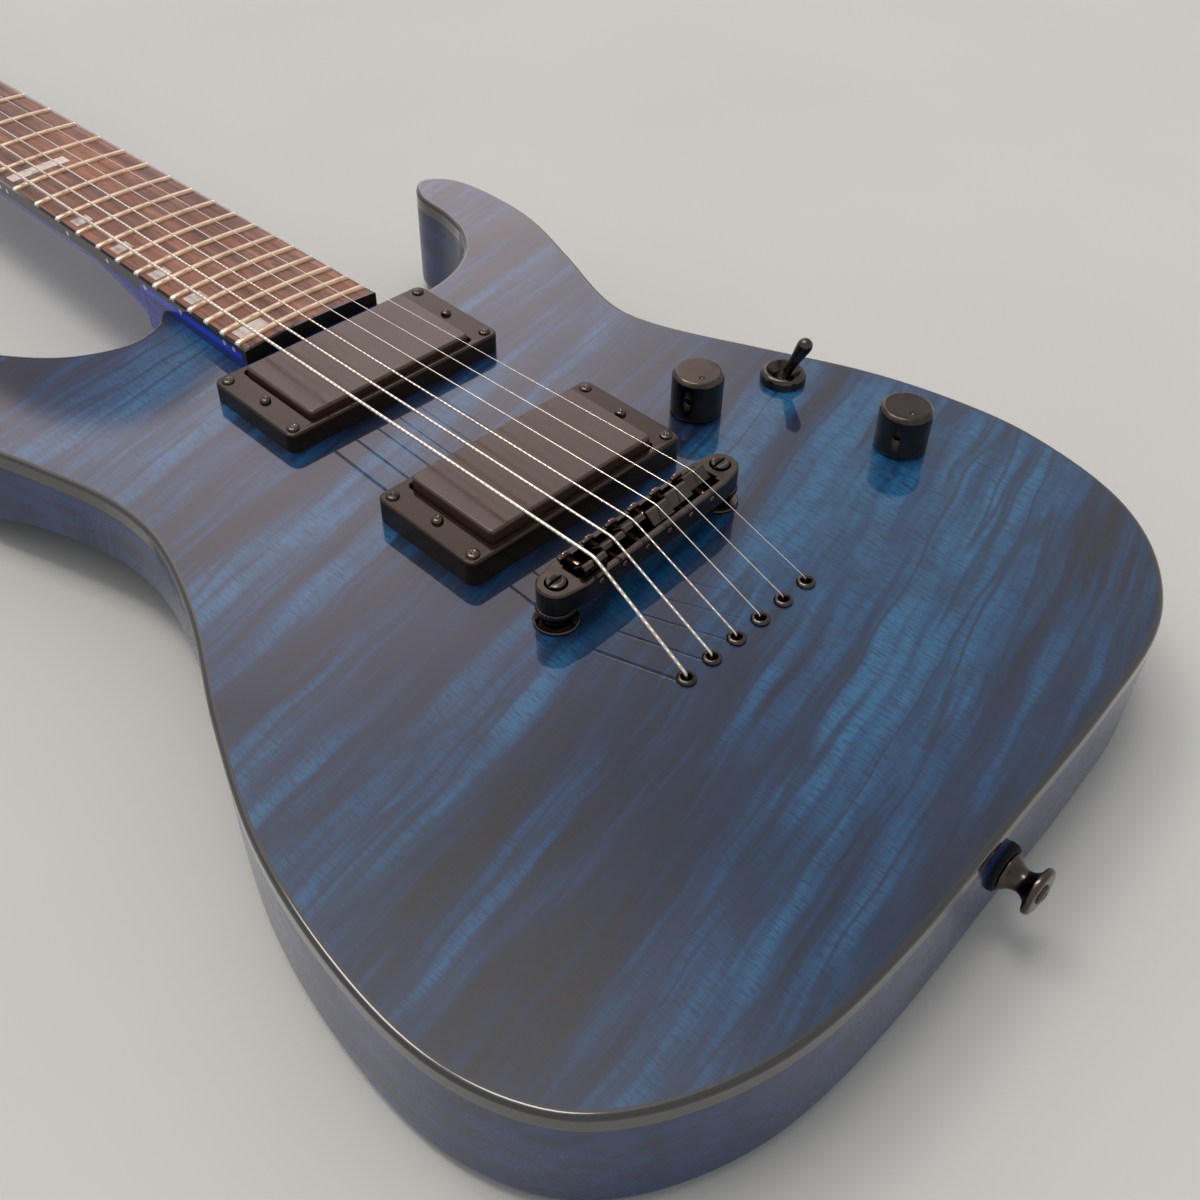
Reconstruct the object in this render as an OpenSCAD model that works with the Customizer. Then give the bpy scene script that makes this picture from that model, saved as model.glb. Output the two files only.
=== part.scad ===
// Solid-body electric guitar with a set neck, a bar bridge and strings through the body.
// Millimetres. X points to the treble side, Y to the headstock, Z up out of the top.
// The origin is on the centre line, at the scale line of the bridge, on the flat of the back.

/* [Body] */
// Thickness of the body
body_t = 45; // [42:0.5:48]
// Thickness of the figured top, which is also the height of the edge binding
cap_t = 6; // [5:0.5:8]
// Width of the edge binding
binding_w = 2; // [1.5:0.1:3]
// Radius of the rounded back edge
back_round = 5; // [4:0.5:5]
// Thickness of wood left over the control cavity
control_top = 14; // [13:0.5:16]

/* [Neck] */
// String length from the nut to the scale line
scale_len = 648; // [640:1:650]
// Number of frets
fret_count = 24; // [22:1:24]
// Fingerboard width at the nut
board_w_nut = 43; // [42:0.5:44]
// Fingerboard width at the last fret
board_w_end = 56.4; // [55:0.2:57]
// Thickness of the fingerboard at its middle
board_t = 6; // [5.5:0.1:6.5]
// Radius across the fingerboard
board_radius = 350; // [300:10:400]
// Height of the fingerboard plane over the top at the scale line
board_rise = 13.4; // [13:0.1:14]
// Angle by which the neck leans back
neck_angle = 1.32; // [1.2:0.02:1.4]
// Thickness of neck wood under the fingerboard at the nut
neck_depth_nut = 14; // [13:0.5:15]
// Thickness of neck wood under the fingerboard beside the heel
neck_depth_heel = 16.5; // [15:0.5:18]
// Angle between the headstock and the neck
head_angle = 4; // [3:0.5:4.5]
// Thickness of the headstock
head_t = 13.5; // [13:0.5:14]

/* [Strings] */
// Distance between strings at the nut
nut_pitch = 7.1; // [6.8:0.1:7.3]
// Distance between strings at the bridge
saddle_pitch = 9.9; // [9.8:0.1:10]
// Distance between string ferrules
ferrule_pitch = 10.8; // [10.4:0.1:11]
// Height of the saddle ridges over the top
saddle_rise = 17.7; // [17:0.1:18.5]
// Turns of each string on its tuner post
post_turns = 2.25; // [1.25:1:3.25]

/* [Bridge] */
// Distance between the two bridge studs
stud_gap = 73.2; // [72:0.2:74]
// Angle of the bridge to the scale line
bridge_angle = 2.7; // [2:0.1:3.5]
// Distance of the bridge's middle behind the scale line
bridge_back = 4.7; // [4:0.1:5.5]
// Height of the bar's top over the body
bar_rise = 14.5; // [14:0.1:15]
// Height of the bar
bar_h = 7.6; // [7.4:0.1:7.8]

/* [Pickups] */
// Length of a pickup cover
cover_len = 68; // [67:0.5:68]
// Width of a pickup cover
cover_w = 37.5; // [37:0.1:38]
// Length of a pickup ring
ring_len = 90; // [89:0.5:91]
// Width of a pickup ring
ring_w = 44.5; // [44:0.1:45]
// Distance of the bridge pickup from the scale line
bridge_pickup_y = 41.8; // [41:0.1:43]
// Distance of the neck pickup from the scale line
neck_pickup_y = 129.3; // [128:0.1:130]
// Height of the bridge pickup's ring
bridge_ring_h = 8.7; // [8:0.1:9]
// Height of the neck pickup's ring
neck_ring_h = 7; // [6.5:0.1:7.5]
// Height of the bridge pickup's cover over the top
bridge_cover_h = 12.6; // [12:0.1:13]
// Height of the neck pickup's cover over the top
neck_cover_h = 9.5; // [9:0.1:10.5]

/* [Controls] */
// Diameter of a knob
knob_d = 17.5; // [17:0.5:19]
// Height of a knob
knob_h = 15.4; // [14:0.2:17]
// Distance of the volume knob from the centre line
volume_x = 68; // [67:0.5:69]
// Distance of the volume knob from the scale line
volume_y = 34; // [33:0.5:35]
// Distance of the tone knob from the centre line
tone_x = 102; // [101:0.5:103]
// Distance of the tone knob from the scale line
tone_y = -26; // [-27:0.5:-25]
// Distance of the toggle switch from the centre line
toggle_x = 103.5; // [103:0.5:104]
// Distance of the toggle switch from the scale line
toggle_y = 25; // [24:0.5:25.5]
// Angle by which the toggle lever leans from upright
toggle_lean = 23; // [18:1:24]
// Direction in which the lever leans, from the treble side
toggle_turn = -83; // [-90:1:-75]
// Place of the output jack along the body
jack_y = -52; // [-54:1:-50]

/* [Tuners] */
// Distance of the posts from the centre line
post_x = 22; // [21.5:0.5:22.5]
// Distance from the nut to the first pair of posts
post_first = 32; // [31:1:33]
// Distance between posts on one side
post_step = 38; // [37:0.5:38]
// Radius of a tuner post
post_r = 3; // [2.9:0.1:3]

/* [Hidden] */
$fn = 48;

// Small clearances: glue lines, fixed fits, running fits and gaps between moving pieces
glue = 0.05;
fixed_gap = 0.05;
run_gap = 0.06;
free_gap = 0.3;
seat_gap = 0.02;
past = 1;

// Pairs of sizes and places from the settings above
cover_size = [cover_len, cover_w];
ring_size = [ring_len, ring_w];
ring_screws = [82.3, 36.6];
volume_at = [volume_x, volume_y];
tone_at = [tone_x, tone_y];
toggle_at = [toggle_x, toggle_y];

// Screws: [radius of the head, height of the head, radius of the shaft, length of the shaft]
ring_screw = [2.2, 1.1, 1.3, 8];
height_screw = [1.9, 1.4, 1.2, 24];
cover_screw = [1.4, 0.85, 0.9, 12];
jack_screw = [2.4, 1, 1.2, 12];
strap_screw = [3, 1, 1.8, 34];
tuner_screw = [1.9, 0.9, 1, 6];
rod_cover_screw = [1.8, 0.9, 1, 5];
function head_r(screw) = screw[0];
function head_h(screw) = screw[1];
function shaft_r(screw) = screw[2];
function shaft_len(screw) = screw[3];

// Colours
c_blue = "#123a7a";
c_side_blue = "#10264f";
c_black = "#16161a";
c_gunmetal = "#3a3532";
c_rosewood = "#5a2f20";
c_nickel = "#c9b9a4";
c_pearl = "#e8e2d4";
c_steel = "#b8b8bc";
c_brass = "#b08d4a";

// Outline of the body from the treble side of the neck, clockwise round to its bass side
outline_knots = [
    [29, 156], [58, 157], [78, 166], [90, 181], [95, 196], [98, 217], [107, 226], [117, 219],
    [121, 200], [119, 170], [109, 138], [98, 108], [96, 92], [101, 73], [115, 42], [130, 8],
    [138, -23], [140, -52], [132, -88], [115, -112], [88, -128], [48, -134], [0, -137], [-50, -140],
    [-89, -138], [-118, -128], [-138, -112], [-149, -86], [-150, -52], [-143, -11], [-128, 29],
    [-110, 68], [-100, 102], [-100, 128], [-108, 159], [-118, 190], [-125, 220], [-126, 246],
    [-119, 267], [-111, 272], [-104, 266], [-96, 247], [-84, 226], [-68, 209], [-49, 201],
    [-36, 204], [-29, 211]];
outline_steps = 3;

// Half outline of the headstock from the nut to the middle of its tip
head_knots = [[21.5, 0], [22.5, 8], [32, 20], [38, 34], [39.5, 75], [40.5, 118], [36, 132], [20, 139],
              [0, 141]];
head_steps = 3;

// Outline of the control cavity on the back
cavity_outline = [[52, 44], [64, 50], [90, 48], [109, 33], [113, 20], [117, -12], [117, -34], [113, -60],
                  [60, -62], [52, -54]];
cavity_depth = body_t - control_top;
cover_t = 2.5;
cover_ledge = 4;

// Comfort cut behind the bass waist, a shallow slice of a large ball
belly_r = 200;
belly_at = [-138, 130];
belly_edge = 92;

// Fret positions and board widths along the neck
function fret_y(n) = scale_len * pow(2, -n / 12);
last_fret_y = fret_y(fret_count);
board_end_y = last_fret_y - 6;
function board_w(y) = board_w_nut + (board_w_end - board_w_nut) * (scale_len - y) / (scale_len - last_fret_y);
board_bind_w = 1.3;
fret_w = 2.7;
fret_h = 1.1;
fret_end_gap = 0.4;
nut_len = 4;
nut_rise = 2.4;
neck_wood_z = -board_t;
heel_end_y = 226;
heel_depth = 25;
loft_start_y = 223;
loft_depth = 18;
thin_start_y = 264;

// Frets before which a marker lies, with the sizes of the blocks and of the dots in the board's edge
marker_frets = [3, 5, 7, 9, 12, 15, 17, 19, 21, 24];
marker_t = 3;
marker_w = 6;
marker_edge = 2.2;
marker_plain_len = 7;
marker_octave_len = 26;
marker_last_len = 12;
side_dot_r = 1;
side_dot_z = -3.6;
side_dot_depth = 0.9;
side_dot_step = 3;

// Strings, bass to treble
string_d = [1.17, 0.91, 0.66, 0.43, 0.33, 0.25];
string_sides = 6;
ferrule_back = 47;
ferrule_slope = 0.028;
ferrule_rise = 1.2;
ferrule_flange_r = 2.9;
ferrule_r = 2.4;
ferrule_h = 6;
string_bore_r = 1.2;
string_hole_r = 1.6;
cup_r = 4.2;
cup_h = 10;
cup_bore_r = 2.7;
cup_end = 1.1;
ball_r = 1.95;
ball_len = 3.5;
ball_z = 6.9;
string_low_z = 7;
string_lift = 0.12;
string_over_fret = 0.5;
nut_slot_side = 0.15;
wind_clear = 0.25;
wind_gap = 0.5;
function string_x(i, pitch) = (i - 2.5) * pitch;
function ferrule_at(i) =
    let (x = string_x(i, ferrule_pitch)) [x, -ferrule_back + ferrule_slope * x];

// Saddles, with the place of each ridge across the bridge
saddle_offset = [-3.3, -1.4, -0.4, -0.9, 0.3, 1.7];
saddle_len = 5;
saddle_w = 9.3;
ridge_inset = 1.3;
ridge_half = 0.4;
ridge_back_drop = 0.9;
ridge_front_drop = 2.8;
channel_half = 5;
bar_half = 6.85;
bar_end_r = 5.8;
bar_shoulder = [31, bar_half];
bar_neck = [stud_gap / 2, bar_end_r - 0.3];
channel_len = 60.5;
channel_floor = bar_rise - 5.6;
saddle_screw_z = 11.4;
saddle_screw_r = 1.25;
saddle_head_r = 2.2;
saddle_head_h = 1.5;
saddle_slot = [6, 0.6, 2];
saddle_slot_rise = 0.9;
stud_r = 4;
stud_neck_r = 3;
stud_low = 18;
stud_top = 1.1;
stud_slot = [8, 1, 3];
stud_slot_rise = 0.3;
wheel_r = 6.1;
wheel_low = 3.1;
bushing_r = 5.6;
bushing_h = 22;
bushing_flange = [6.8, 1.1];
bushing_hole = 24;

// Pickups
cover_h = 23;
cover_corner = 2;
ring_opening = [70, 39.5];
ring_corner = 3.5;
opening_corner = 1;
height_screw_x = 39;
tab_drop = 9;
tab_size = [9, 12, 1.5];
tab_out = 4;
tab_room = [88, 15];
pickup_room = 22;
ring_hole_depth = 10;
spring_r = 2.4;
spring_bore_r = 1.7;

// Potentiometers and knobs
pot_r = 11.5;
pot_h = 12;
pot_bush_r = 4.5;
pot_bush_rise = 5;
pot_hole_r = 4.6;
pot_nut = [6, 2.4];
pot_lugs = [12, 8, 1];
pot_lugs_at = [-6, -18, -9];
pot_bore_depth = 6;
shaft_base = cavity_depth - 5.5;
shaft_top_gap = 4;
pot_shaft_r = 3;
knob_lift = 0.5;
knob_bevel = 1.2;
knob_hollow = [6.8, 5.5];
knob_bore_end = 3;
set_screw_r = 1.4;
set_screw_z = 8;
set_screw_turn = 200;

// Toggle switch
toggle_pivot = body_t + 0.5;
toggle_barrel = [3, 6];
toggle_case = [14, 10, 18];
toggle_bush_r = 6;
toggle_hole_r = 6.1;
toggle_nut_r = 8;
toggle_nut_top_r = 6.8;
toggle_nut_h = 2.8;
toggle_nut_bevel = 1.2;
toggle_mouth = [3.2, 6, 4];
lever_r = 1.6;
lever_tip_r = 2.7;
lever_len = 17.5;

// Output jack and its plate
jack_z = 21;
jack_face_x = 137;
jack_plate_size = [46, 24];
jack_plate_corner = 11.9;
jack_plate_t = 2;
jack_screw_gap = 17;
jack_screw_rise = 0.3;
jack_sink_r = 2.6;
jack_room_r = 9;
jack_room_depth = 30;
jack_len = 28;
jack_r = 7.5;
jack_collar_r = 4.7;
jack_collar_rise = 3;
jack_nut = [7, 2.2];
jack_bore_r = 3.2;
jack_bore_depth = 26;

// Battery
battery_at = [57, -52];
battery_size = [26.5, 46, 17.5];
battery_lift = 4;
terminal_r = 3;
terminal_h = 3;
terminal_xs = [7, 19.5];

// Tuner sizes in the headstock's own frame
housing_h = 9;
gear_r = 6;
worm_r = 2;
worm_len = 13.6;
worm_offset = gear_r + worm_r + free_gap;
shaft_drop = 4;
gear_t = 3;
housing_low = [-8, -12.2];
housing_size = [16, 24.7];
housing_tab_t = 2;
housing_tab_v = -7.1;
collar_r = 3.4;
collar_len = 13;
tuner_screw_v = 9.6;
button_shaft_r = 1.8;
button_start = 20.5;
button_size = [13, 15];
button_corner = 6;
button_t = 6.4;
post_rise = 16;
post_hole_r = 0.9;
post_hole_rise = 7;
post_dimple = [1.2, 1];
post_bush_r = 5;
post_bush_h = 12;
post_washer = [7, 0.8];
post_nut = [6.4, 2.3];
post_nut_z = 0.5;
wind_start = 4;

// Curves through knots: each stretch is a cubic with slopes set by its neighbours
function gap(k, i) = norm(k[i + 1] - k[i]);
function slope(k, i) =
    i == 0 ? (k[1] - k[0]) / gap(k, 0)
    : i == len(k) - 1 ? (k[i] - k[i - 1]) / gap(k, i - 1)
    : (k[i + 1] - k[i - 1]) / (gap(k, i - 1) + gap(k, i));
function along(k, i, u) =
    (2 * u * u * u - 3 * u * u + 1) * k[i]
    + (u * u * u - 2 * u * u + u) * gap(k, i) * slope(k, i)
    + (3 * u * u - 2 * u * u * u) * k[i + 1]
    + (u * u * u - u * u) * gap(k, i) * slope(k, i + 1);
function curve(k, n) =
    concat([for (i = [0:len(k) - 2]) for (j = [0:n - 1]) along(k, i, j / n)], [k[len(k) - 1]]);

// A closed clockwise outline moved inwards by d
function inset(p, d) =
    let (n = len(p))
    [for (i = [0:n - 1])
        let (t = p[(i + 1) % n] - p[(i + n - 1) % n])
        p[i] + d * [t[1], -t[0]] / norm(t)];

body_outline = curve(outline_knots, outline_steps);
head_half = curve(head_knots, head_steps);
head_outline = concat(
    [for (i = [len(head_half) - 1:-1:0]) [-head_half[i][0], head_half[i][1]]],
    [for (i = [0:len(head_half) - 2]) head_half[i]]);

// Places in the neck's, headstock's and bridge's own frames, given in the part's frame
function turn_x(p, a) = [p[0], p[1] * cos(a) - p[2] * sin(a), p[1] * sin(a) + p[2] * cos(a)];
function neck_pt(p) = turn_x(p, -neck_angle) + [0, 0, body_t + board_rise];
function head_pt(p) = neck_pt(turn_x(p, -head_angle) + [0, scale_len + nut_len, neck_wood_z]);
function bridge_pt(p) =
    [p[0] * cos(bridge_angle) - p[1] * sin(bridge_angle),
     p[0] * sin(bridge_angle) + p[1] * cos(bridge_angle) - bridge_back,
     p[2] + body_t];

module in_neck() translate([0, 0, body_t + board_rise]) rotate([-neck_angle, 0, 0]) children();
module in_head() {
    in_neck() translate([0, scale_len + nut_len, neck_wood_z]) rotate([-head_angle, 0, 0]) children();
}
module in_bridge() translate([0, -bridge_back, body_t]) rotate([0, 0, bridge_angle]) children();

// Plain helpers
module rounded_rect(size, r) {
    square([size[0] - 2 * r, size[1]], center = true);
    square([size[0], size[1] - 2 * r], center = true);
    for (sx = [-1, 1], sy = [-1, 1])
        translate([sx * (size[0] / 2 - r), sy * (size[1] / 2 - r)]) circle(r);
}

module ring_corners() {
    for (sx = [-1, 1], sy = [-1, 1])
        translate([sx * ring_screws[0] / 2, sy * ring_screws[1] / 2, 0]) children();
}

module each_pickup() {
    for (y = [bridge_pickup_y, neck_pickup_y]) translate([0, y, body_t]) children();
}

// A tube of a given radius swept along points, closed at both ends
function unit(v) = v / norm(v);
function heading(p, i) =
    i == 0 ? unit(p[1] - p[0])
    : i == len(p) - 1 ? unit(p[i] - p[i - 1])
    : unit(unit(p[i] - p[i - 1]) + unit(p[i + 1] - p[i]));
function side_of(h, last) = unit(last - h * (last * h));
function sides_along(p, i = 0, last = [1, 0, 0], out = []) =
    i == len(p) ? out
    : let (s = side_of(heading(p, i), last)) sides_along(p, i + 1, s, concat(out, [s]));
module tube(p, r, n, first = [1, 0, 0]) {
    sides = sides_along(p, 0, first);
    points = [for (i = [0:len(p) - 1])
        let (h = heading(p, i), s = sides[i], b = cross(h, s))
        for (k = [0:n - 1]) p[i] + r * (s * cos(360 * k / n) + b * sin(360 * k / n))];
    last = len(p) - 1;
    faces = concat(
        [for (k = [1:n - 2]) [0, k + 1, k]],
        [for (i = [0:last - 1]) for (k = [0:n - 1]) [i * n + k, i * n + (k + 1) % n, (i + 1) * n + k]],
        [for (i = [0:last - 1]) for (k = [0:n - 1])
            [i * n + (k + 1) % n, (i + 1) * n + (k + 1) % n, (i + 1) * n + k]],
        [for (k = [1:n - 2]) [last * n, last * n + k, last * n + k + 1]]);
    polyhedron(points, [for (f = faces) [f[2], f[1], f[0]]]);
}

// A band round a closed outline, whose rings follow its section
function lifted(p, z) = [for (q = p) [q[0], q[1], z]];
module closed_band(rings) {
    n = len(rings[0]);
    m = len(rings);
    polyhedron(
        [for (r = rings) for (p = r) p],
        concat(
            [for (i = [0:m - 1]) for (k = [0:n - 1])
                [i * n + k, ((i + 1) % m) * n + k, i * n + (k + 1) % n]],
            [for (i = [0:m - 1]) for (k = [0:n - 1])
                [i * n + (k + 1) % n, ((i + 1) % m) * n + k, ((i + 1) % m) * n + (k + 1) % n]]));
}

// A closed skin over rings of the same number of points, each ring clockwise seen from its far end
module skin(rings) {
    n = len(rings[0]);
    last = len(rings) - 1;
    polyhedron(
        [for (r = rings) for (p = r) p],
        concat(
            [[for (k = [0:n - 1]) k]],
            [for (i = [0:last - 1]) for (k = [0:n - 1]) [i * n + k, (i + 1) * n + k, i * n + (k + 1) % n]],
            [for (i = [0:last - 1]) for (k = [0:n - 1])
                [i * n + (k + 1) % n, (i + 1) * n + k, (i + 1) * n + (k + 1) % n]],
            [[for (k = [n - 1:-1:0]) last * n + k]]));
}

// Body: a slab whose back edge is rounded by a band cut away along the outline
round_steps = 3;
function edge_cut_profile() =
    concat([for (k = [0:round_steps]) let (a = 90 * k / round_steps)
                [back_round * (1 - sin(a)), back_round * (1 - cos(a))]],
           [[-past, back_round + past], [-past, -past], [back_round, -past]]);

module body_blank() {
    difference() {
        linear_extrude(height = body_t - cap_t) polygon(body_outline);
        closed_band([for (q = edge_cut_profile()) lifted(inset(body_outline, q[0]), q[1])]);
    }
}

module heel_block(grow) {
    linear_extrude(height = heel_depth - board_t + (grow > 0 ? 10 : 0))
        polygon([[-board_w(board_end_y) / 2 - grow, board_end_y - grow],
                 [-board_w(heel_end_y) / 2 - grow, heel_end_y + grow],
                 [board_w(heel_end_y) / 2 + grow, heel_end_y + grow],
                 [board_w(board_end_y) / 2 + grow, board_end_y - grow]]);
}

module neck_pocket() {
    in_neck() translate([0, 0, -heel_depth - glue]) heel_block(glue);
}

module pickup_cavity() {
    translate([0, 0, -pickup_room]) linear_extrude(height = pickup_room + past) {
        square(ring_opening, center = true);
        square(tab_room, center = true);
    }
    ring_corners() translate([0, 0, -ring_hole_depth])
        cylinder(r = shaft_r(ring_screw) + fixed_gap, h = ring_hole_depth + past);
}

module control_cavity() {
    translate([0, 0, -past]) linear_extrude(height = cavity_depth + past) polygon(cavity_outline);
    translate([0, 0, -past]) linear_extrude(height = cover_t + fixed_gap + past)
        polygon(inset(cavity_outline, -cover_ledge - fixed_gap));
    for (p = cover_screw_places()) translate([p[0], p[1], 0])
        cylinder(r = shaft_r(cover_screw) + fixed_gap, h = shaft_len(cover_screw) + 2);
    for (p = [volume_at, tone_at]) translate([p[0], p[1], cavity_depth - past])
        cylinder(r = pot_hole_r, h = control_top + 2 * past);
    translate([toggle_at[0], toggle_at[1], cavity_depth - past])
        cylinder(r = toggle_hole_r, h = control_top + 2 * past);
}

// Cover screws stand on the ledge, outside some corners of the cavity
cover_screw_corners = [0, 2, 5, 7, 8];
cover_screw_z = 0.9;
cover_screw_share = 0.44;
function cover_screw_places() =
    let (rim = inset(cavity_outline, -cover_ledge * cover_screw_share)) [for (i = cover_screw_corners) rim[i]];

module string_holes() {
    for (i = [0:5]) translate([ferrule_at(i)[0], ferrule_at(i)[1], -past]) {
        cylinder(r = string_hole_r, h = body_t + 2 * past);
        cylinder(r = cup_r + fixed_gap, h = cup_h + fixed_gap + past);
        translate([0, 0, body_t - ferrule_h]) cylinder(r = ferrule_r + fixed_gap, h = ferrule_h + 2 * past);
    }
}

module bushing_holes() {
    in_bridge() for (s = [-1, 1]) translate([s * stud_gap / 2, 0, -bushing_hole])
        cylinder(r = bushing_r + fixed_gap, h = bushing_hole + past);
}

module jack_room() {
    translate([jack_face_x - jack_room_depth, jack_y, jack_z]) rotate([0, 90, 0])
        cylinder(r = jack_room_r, h = jack_room_depth + 10);
    translate([jack_face_x - jack_plate_t, jack_y, jack_z]) rotate([90, 0, 90]) linear_extrude(height = 10)
        rounded_rect(jack_plate_size + 4 * [fixed_gap, fixed_gap], jack_plate_corner + 2 * fixed_gap);
    for (s = [-1, 1]) translate([jack_face_x, jack_y + s * jack_screw_gap, jack_z]) rotate([0, -90, 0])
        cylinder(r = shaft_r(jack_screw) + fixed_gap, h = shaft_len(jack_screw) + 2);
}

// Strap buttons: place on the body's edge and direction, as a turn about Z from +Y
strap_places = [[-2, -136.6, 180], [-112, 271, 8]];
strap_z = body_t - 21;
strap_hole = 24;
strap_screw_out = 13;
module at_straps() {
    for (s = strap_places) translate([s[0], s[1], strap_z]) rotate([0, 0, s[2]]) rotate([-90, 0, 0])
        children();
}

// Channels for the wires between the cavities
wire_z = body_t - 18.5;
wire_channel_x = 18;
wire_channel_y = 36;
wire_channel_r = 3;
wire_channel_start = 30;
wire_channel_len = 28;
module wire_channels() {
    translate([wire_channel_x, bridge_pickup_y, wire_z]) rotate([-90, 0, 0])
        cylinder(r = wire_channel_r, h = neck_pickup_y - bridge_pickup_y);
    translate([wire_channel_start, wire_channel_y, wire_z]) rotate([0, 90, 0])
        cylinder(r = wire_channel_r, h = wire_channel_len);
}

module body_cuts() {
    neck_pocket();
    each_pickup() pickup_cavity();
    control_cavity();
    string_holes();
    bushing_holes();
    jack_room();
    wire_channels();
    at_straps() translate([0, 0, -strap_hole])
        cylinder(r = shaft_r(strap_screw) + fixed_gap, h = strap_hole + 5);
}

module body_back() {
    color(c_side_blue) difference() {
        body_blank();
        body_cuts();
        translate([belly_at[0], belly_at[1], -sqrt(belly_r * belly_r - belly_edge * belly_edge)])
            sphere(r = belly_r, $fn = 72);
    }
}

module body_top() {
    color(c_blue) difference() {
        translate([0, 0, body_t - cap_t + glue]) linear_extrude(height = cap_t - glue)
            polygon(inset(body_outline, binding_w + glue));
        body_cuts();
    }
}

module body_binding() {
    color(c_black) difference() {
        translate([0, 0, body_t - cap_t + glue]) linear_extrude(height = cap_t - glue) polygon(body_outline);
        translate([0, 0, body_t - cap_t - past]) linear_extrude(height = cap_t + 2 * past)
            polygon(inset(body_outline, binding_w));
        neck_pocket();
    }
}

// Neck, in its own frame: Y along the board, Z up, with the middle of the board's surface at 0
profile_steps = 12;
loft_end_y = scale_len + nut_len + 4;
function loft_part(y) = (y - loft_start_y) / (thin_start_y - loft_start_y);
function neck_depth(y) =
    y < thin_start_y
        ? loft_depth + (neck_depth_heel - loft_depth) * (1 - cos(180 * loft_part(y))) / 2
        : neck_depth_heel
            + (neck_depth_nut - neck_depth_heel) * (y - thin_start_y) / (scale_len - thin_start_y);
heel_power = 0.35;
neck_power = 1.25;
loft_side_gap = 0.3;
nut_drop = 0.6;
function neck_squareness(y) =
    y < thin_start_y ? heel_power + (neck_power - heel_power) * loft_part(y) : neck_power;
function neck_half(y) = board_w(y) / 2 - (y < heel_end_y ? loft_side_gap : 0);
// The wood drops away under the nut, so that the headstock's own face takes over
function neck_top(y) = neck_wood_z - (y < loft_end_y ? 0 : nut_drop);
function power(v, e) = v == 0 ? 0 : sign(v) * pow(abs(v), e);
function neck_ring(y) =
    let (w = neck_half(y), d = neck_depth(y), e = neck_squareness(y))
    [for (k = [0:profile_steps])
        let (a = 180 * k / profile_steps)
        [w * power(cos(a), e), y, neck_top(y) - d * power(sin(a), e)]];
loft_ys = [loft_start_y, heel_end_y + 1, 238, 250, thin_start_y, 360, 460, 560, scale_len + 2, loft_end_y];

truss_z = neck_wood_z - 6;
truss_r = 2.5;
truss_start_y = 190;
truss_end_y = scale_len + nut_len + 20;
truss_nut = [4, 8];
truss_pocket = [10, 24, 20];
truss_pocket_y = scale_len + nut_len + 6;
module truss_room() {
    translate([0, truss_start_y - past, truss_z]) rotate([-90, 0, 0])
        cylinder(r = truss_r + fixed_gap, h = truss_end_y - truss_start_y);
    translate([-truss_pocket[0] / 2, truss_pocket_y, truss_z - truss_pocket[0] / 2]) cube(truss_pocket);
}

module neck() {
    color(c_side_blue) difference() {
        union() {
            in_neck() translate([0, 0, -heel_depth]) heel_block(0);
            in_neck() skin([for (y = loft_ys) neck_ring(y)]);
            in_head() translate([0, 0, -head_t]) linear_extrude(height = head_t) polygon(head_outline);
        }
        in_neck() truss_room();
        in_head() for (i = [0:5]) translate([post_at(i)[0], post_at(i)[1], -head_t - past])
            cylinder(r = post_bush_r, h = head_t + 2 * past);
        in_head() for (i = [0:5]) translate([post_at(i)[0], post_at(i)[1] - tuner_screw_v, -head_t - past])
            cylinder(r = shaft_r(tuner_screw) + fixed_gap, h = shaft_len(tuner_screw) + past);
        in_head() for (v = rod_cover_screw_vs) translate([0, v, -shaft_len(rod_cover_screw)])
            cylinder(r = shaft_r(rod_cover_screw) + fixed_gap, h = shaft_len(rod_cover_screw) + past);
    }
}

module board_plan(cut, start_y) {
    polygon([[-board_w(start_y) / 2 + cut, start_y], [-board_w(scale_len) / 2 + cut, scale_len],
             [board_w(scale_len) / 2 - cut, scale_len], [board_w(start_y) / 2 - cut, start_y]]);
}

module crown(extra) {
    translate([0, board_end_y - past, -board_radius]) rotate([-90, 0, 0])
        cylinder(r = board_radius + extra, h = scale_len - board_end_y + 2 * past, $fn = 720);
}

module board_blank(cut) {
    intersection() {
        translate([0, 0, -board_t + glue]) linear_extrude(height = board_t + past)
            board_plan(cut, board_end_y + cut);
        crown(0);
    }
}

function marker_y(n) = (fret_y(n) + fret_y(n - 1)) / 2;
function marker_len(n) = n == 12 ? marker_octave_len : n == 24 ? marker_last_len : marker_plain_len;
module marker_blocks() {
    for (n = marker_frets)
        let (y = marker_y(n))
        translate([-board_w(y) / 2 + board_bind_w + marker_edge, y - marker_w / 2, -marker_t])
            cube([marker_len(n), marker_w, marker_t + past]);
}
module side_dots() {
    for (n = marker_frets)
        let (y = marker_y(n))
        for (s = n % 12 == 0 ? [-side_dot_step, side_dot_step] : [0])
            translate([-board_w(y + s) / 2 - past, y + s, side_dot_z]) rotate([0, 90, 0])
                cylinder(r = side_dot_r, h = side_dot_depth + past);
}

module fingerboard() {
    color(c_rosewood) in_neck() difference() {
        board_blank(board_bind_w);
        marker_blocks();
    }
}

module fingerboard_binding() {
    color(c_black) in_neck() difference() {
        board_blank(0);
        translate([0, 0, -board_t - past]) linear_extrude(height = board_t + 3 * past)
            polygon([[-board_w(board_end_y) / 2 + board_bind_w, board_end_y + board_bind_w],
                     [-board_w(scale_len) / 2 + board_bind_w, scale_len + past],
                     [board_w(scale_len) / 2 - board_bind_w, scale_len + past],
                     [board_w(board_end_y) / 2 - board_bind_w, board_end_y + board_bind_w]]);
        side_dots();
    }
}

module position_markers() {
    color(c_pearl) in_neck() {
        intersection() {
            marker_blocks();
            crown(0);
        }
        intersection() {
            side_dots();
            translate([0, 0, -board_t]) linear_extrude(height = board_t) board_plan(0, board_end_y);
        }
    }
}

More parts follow.
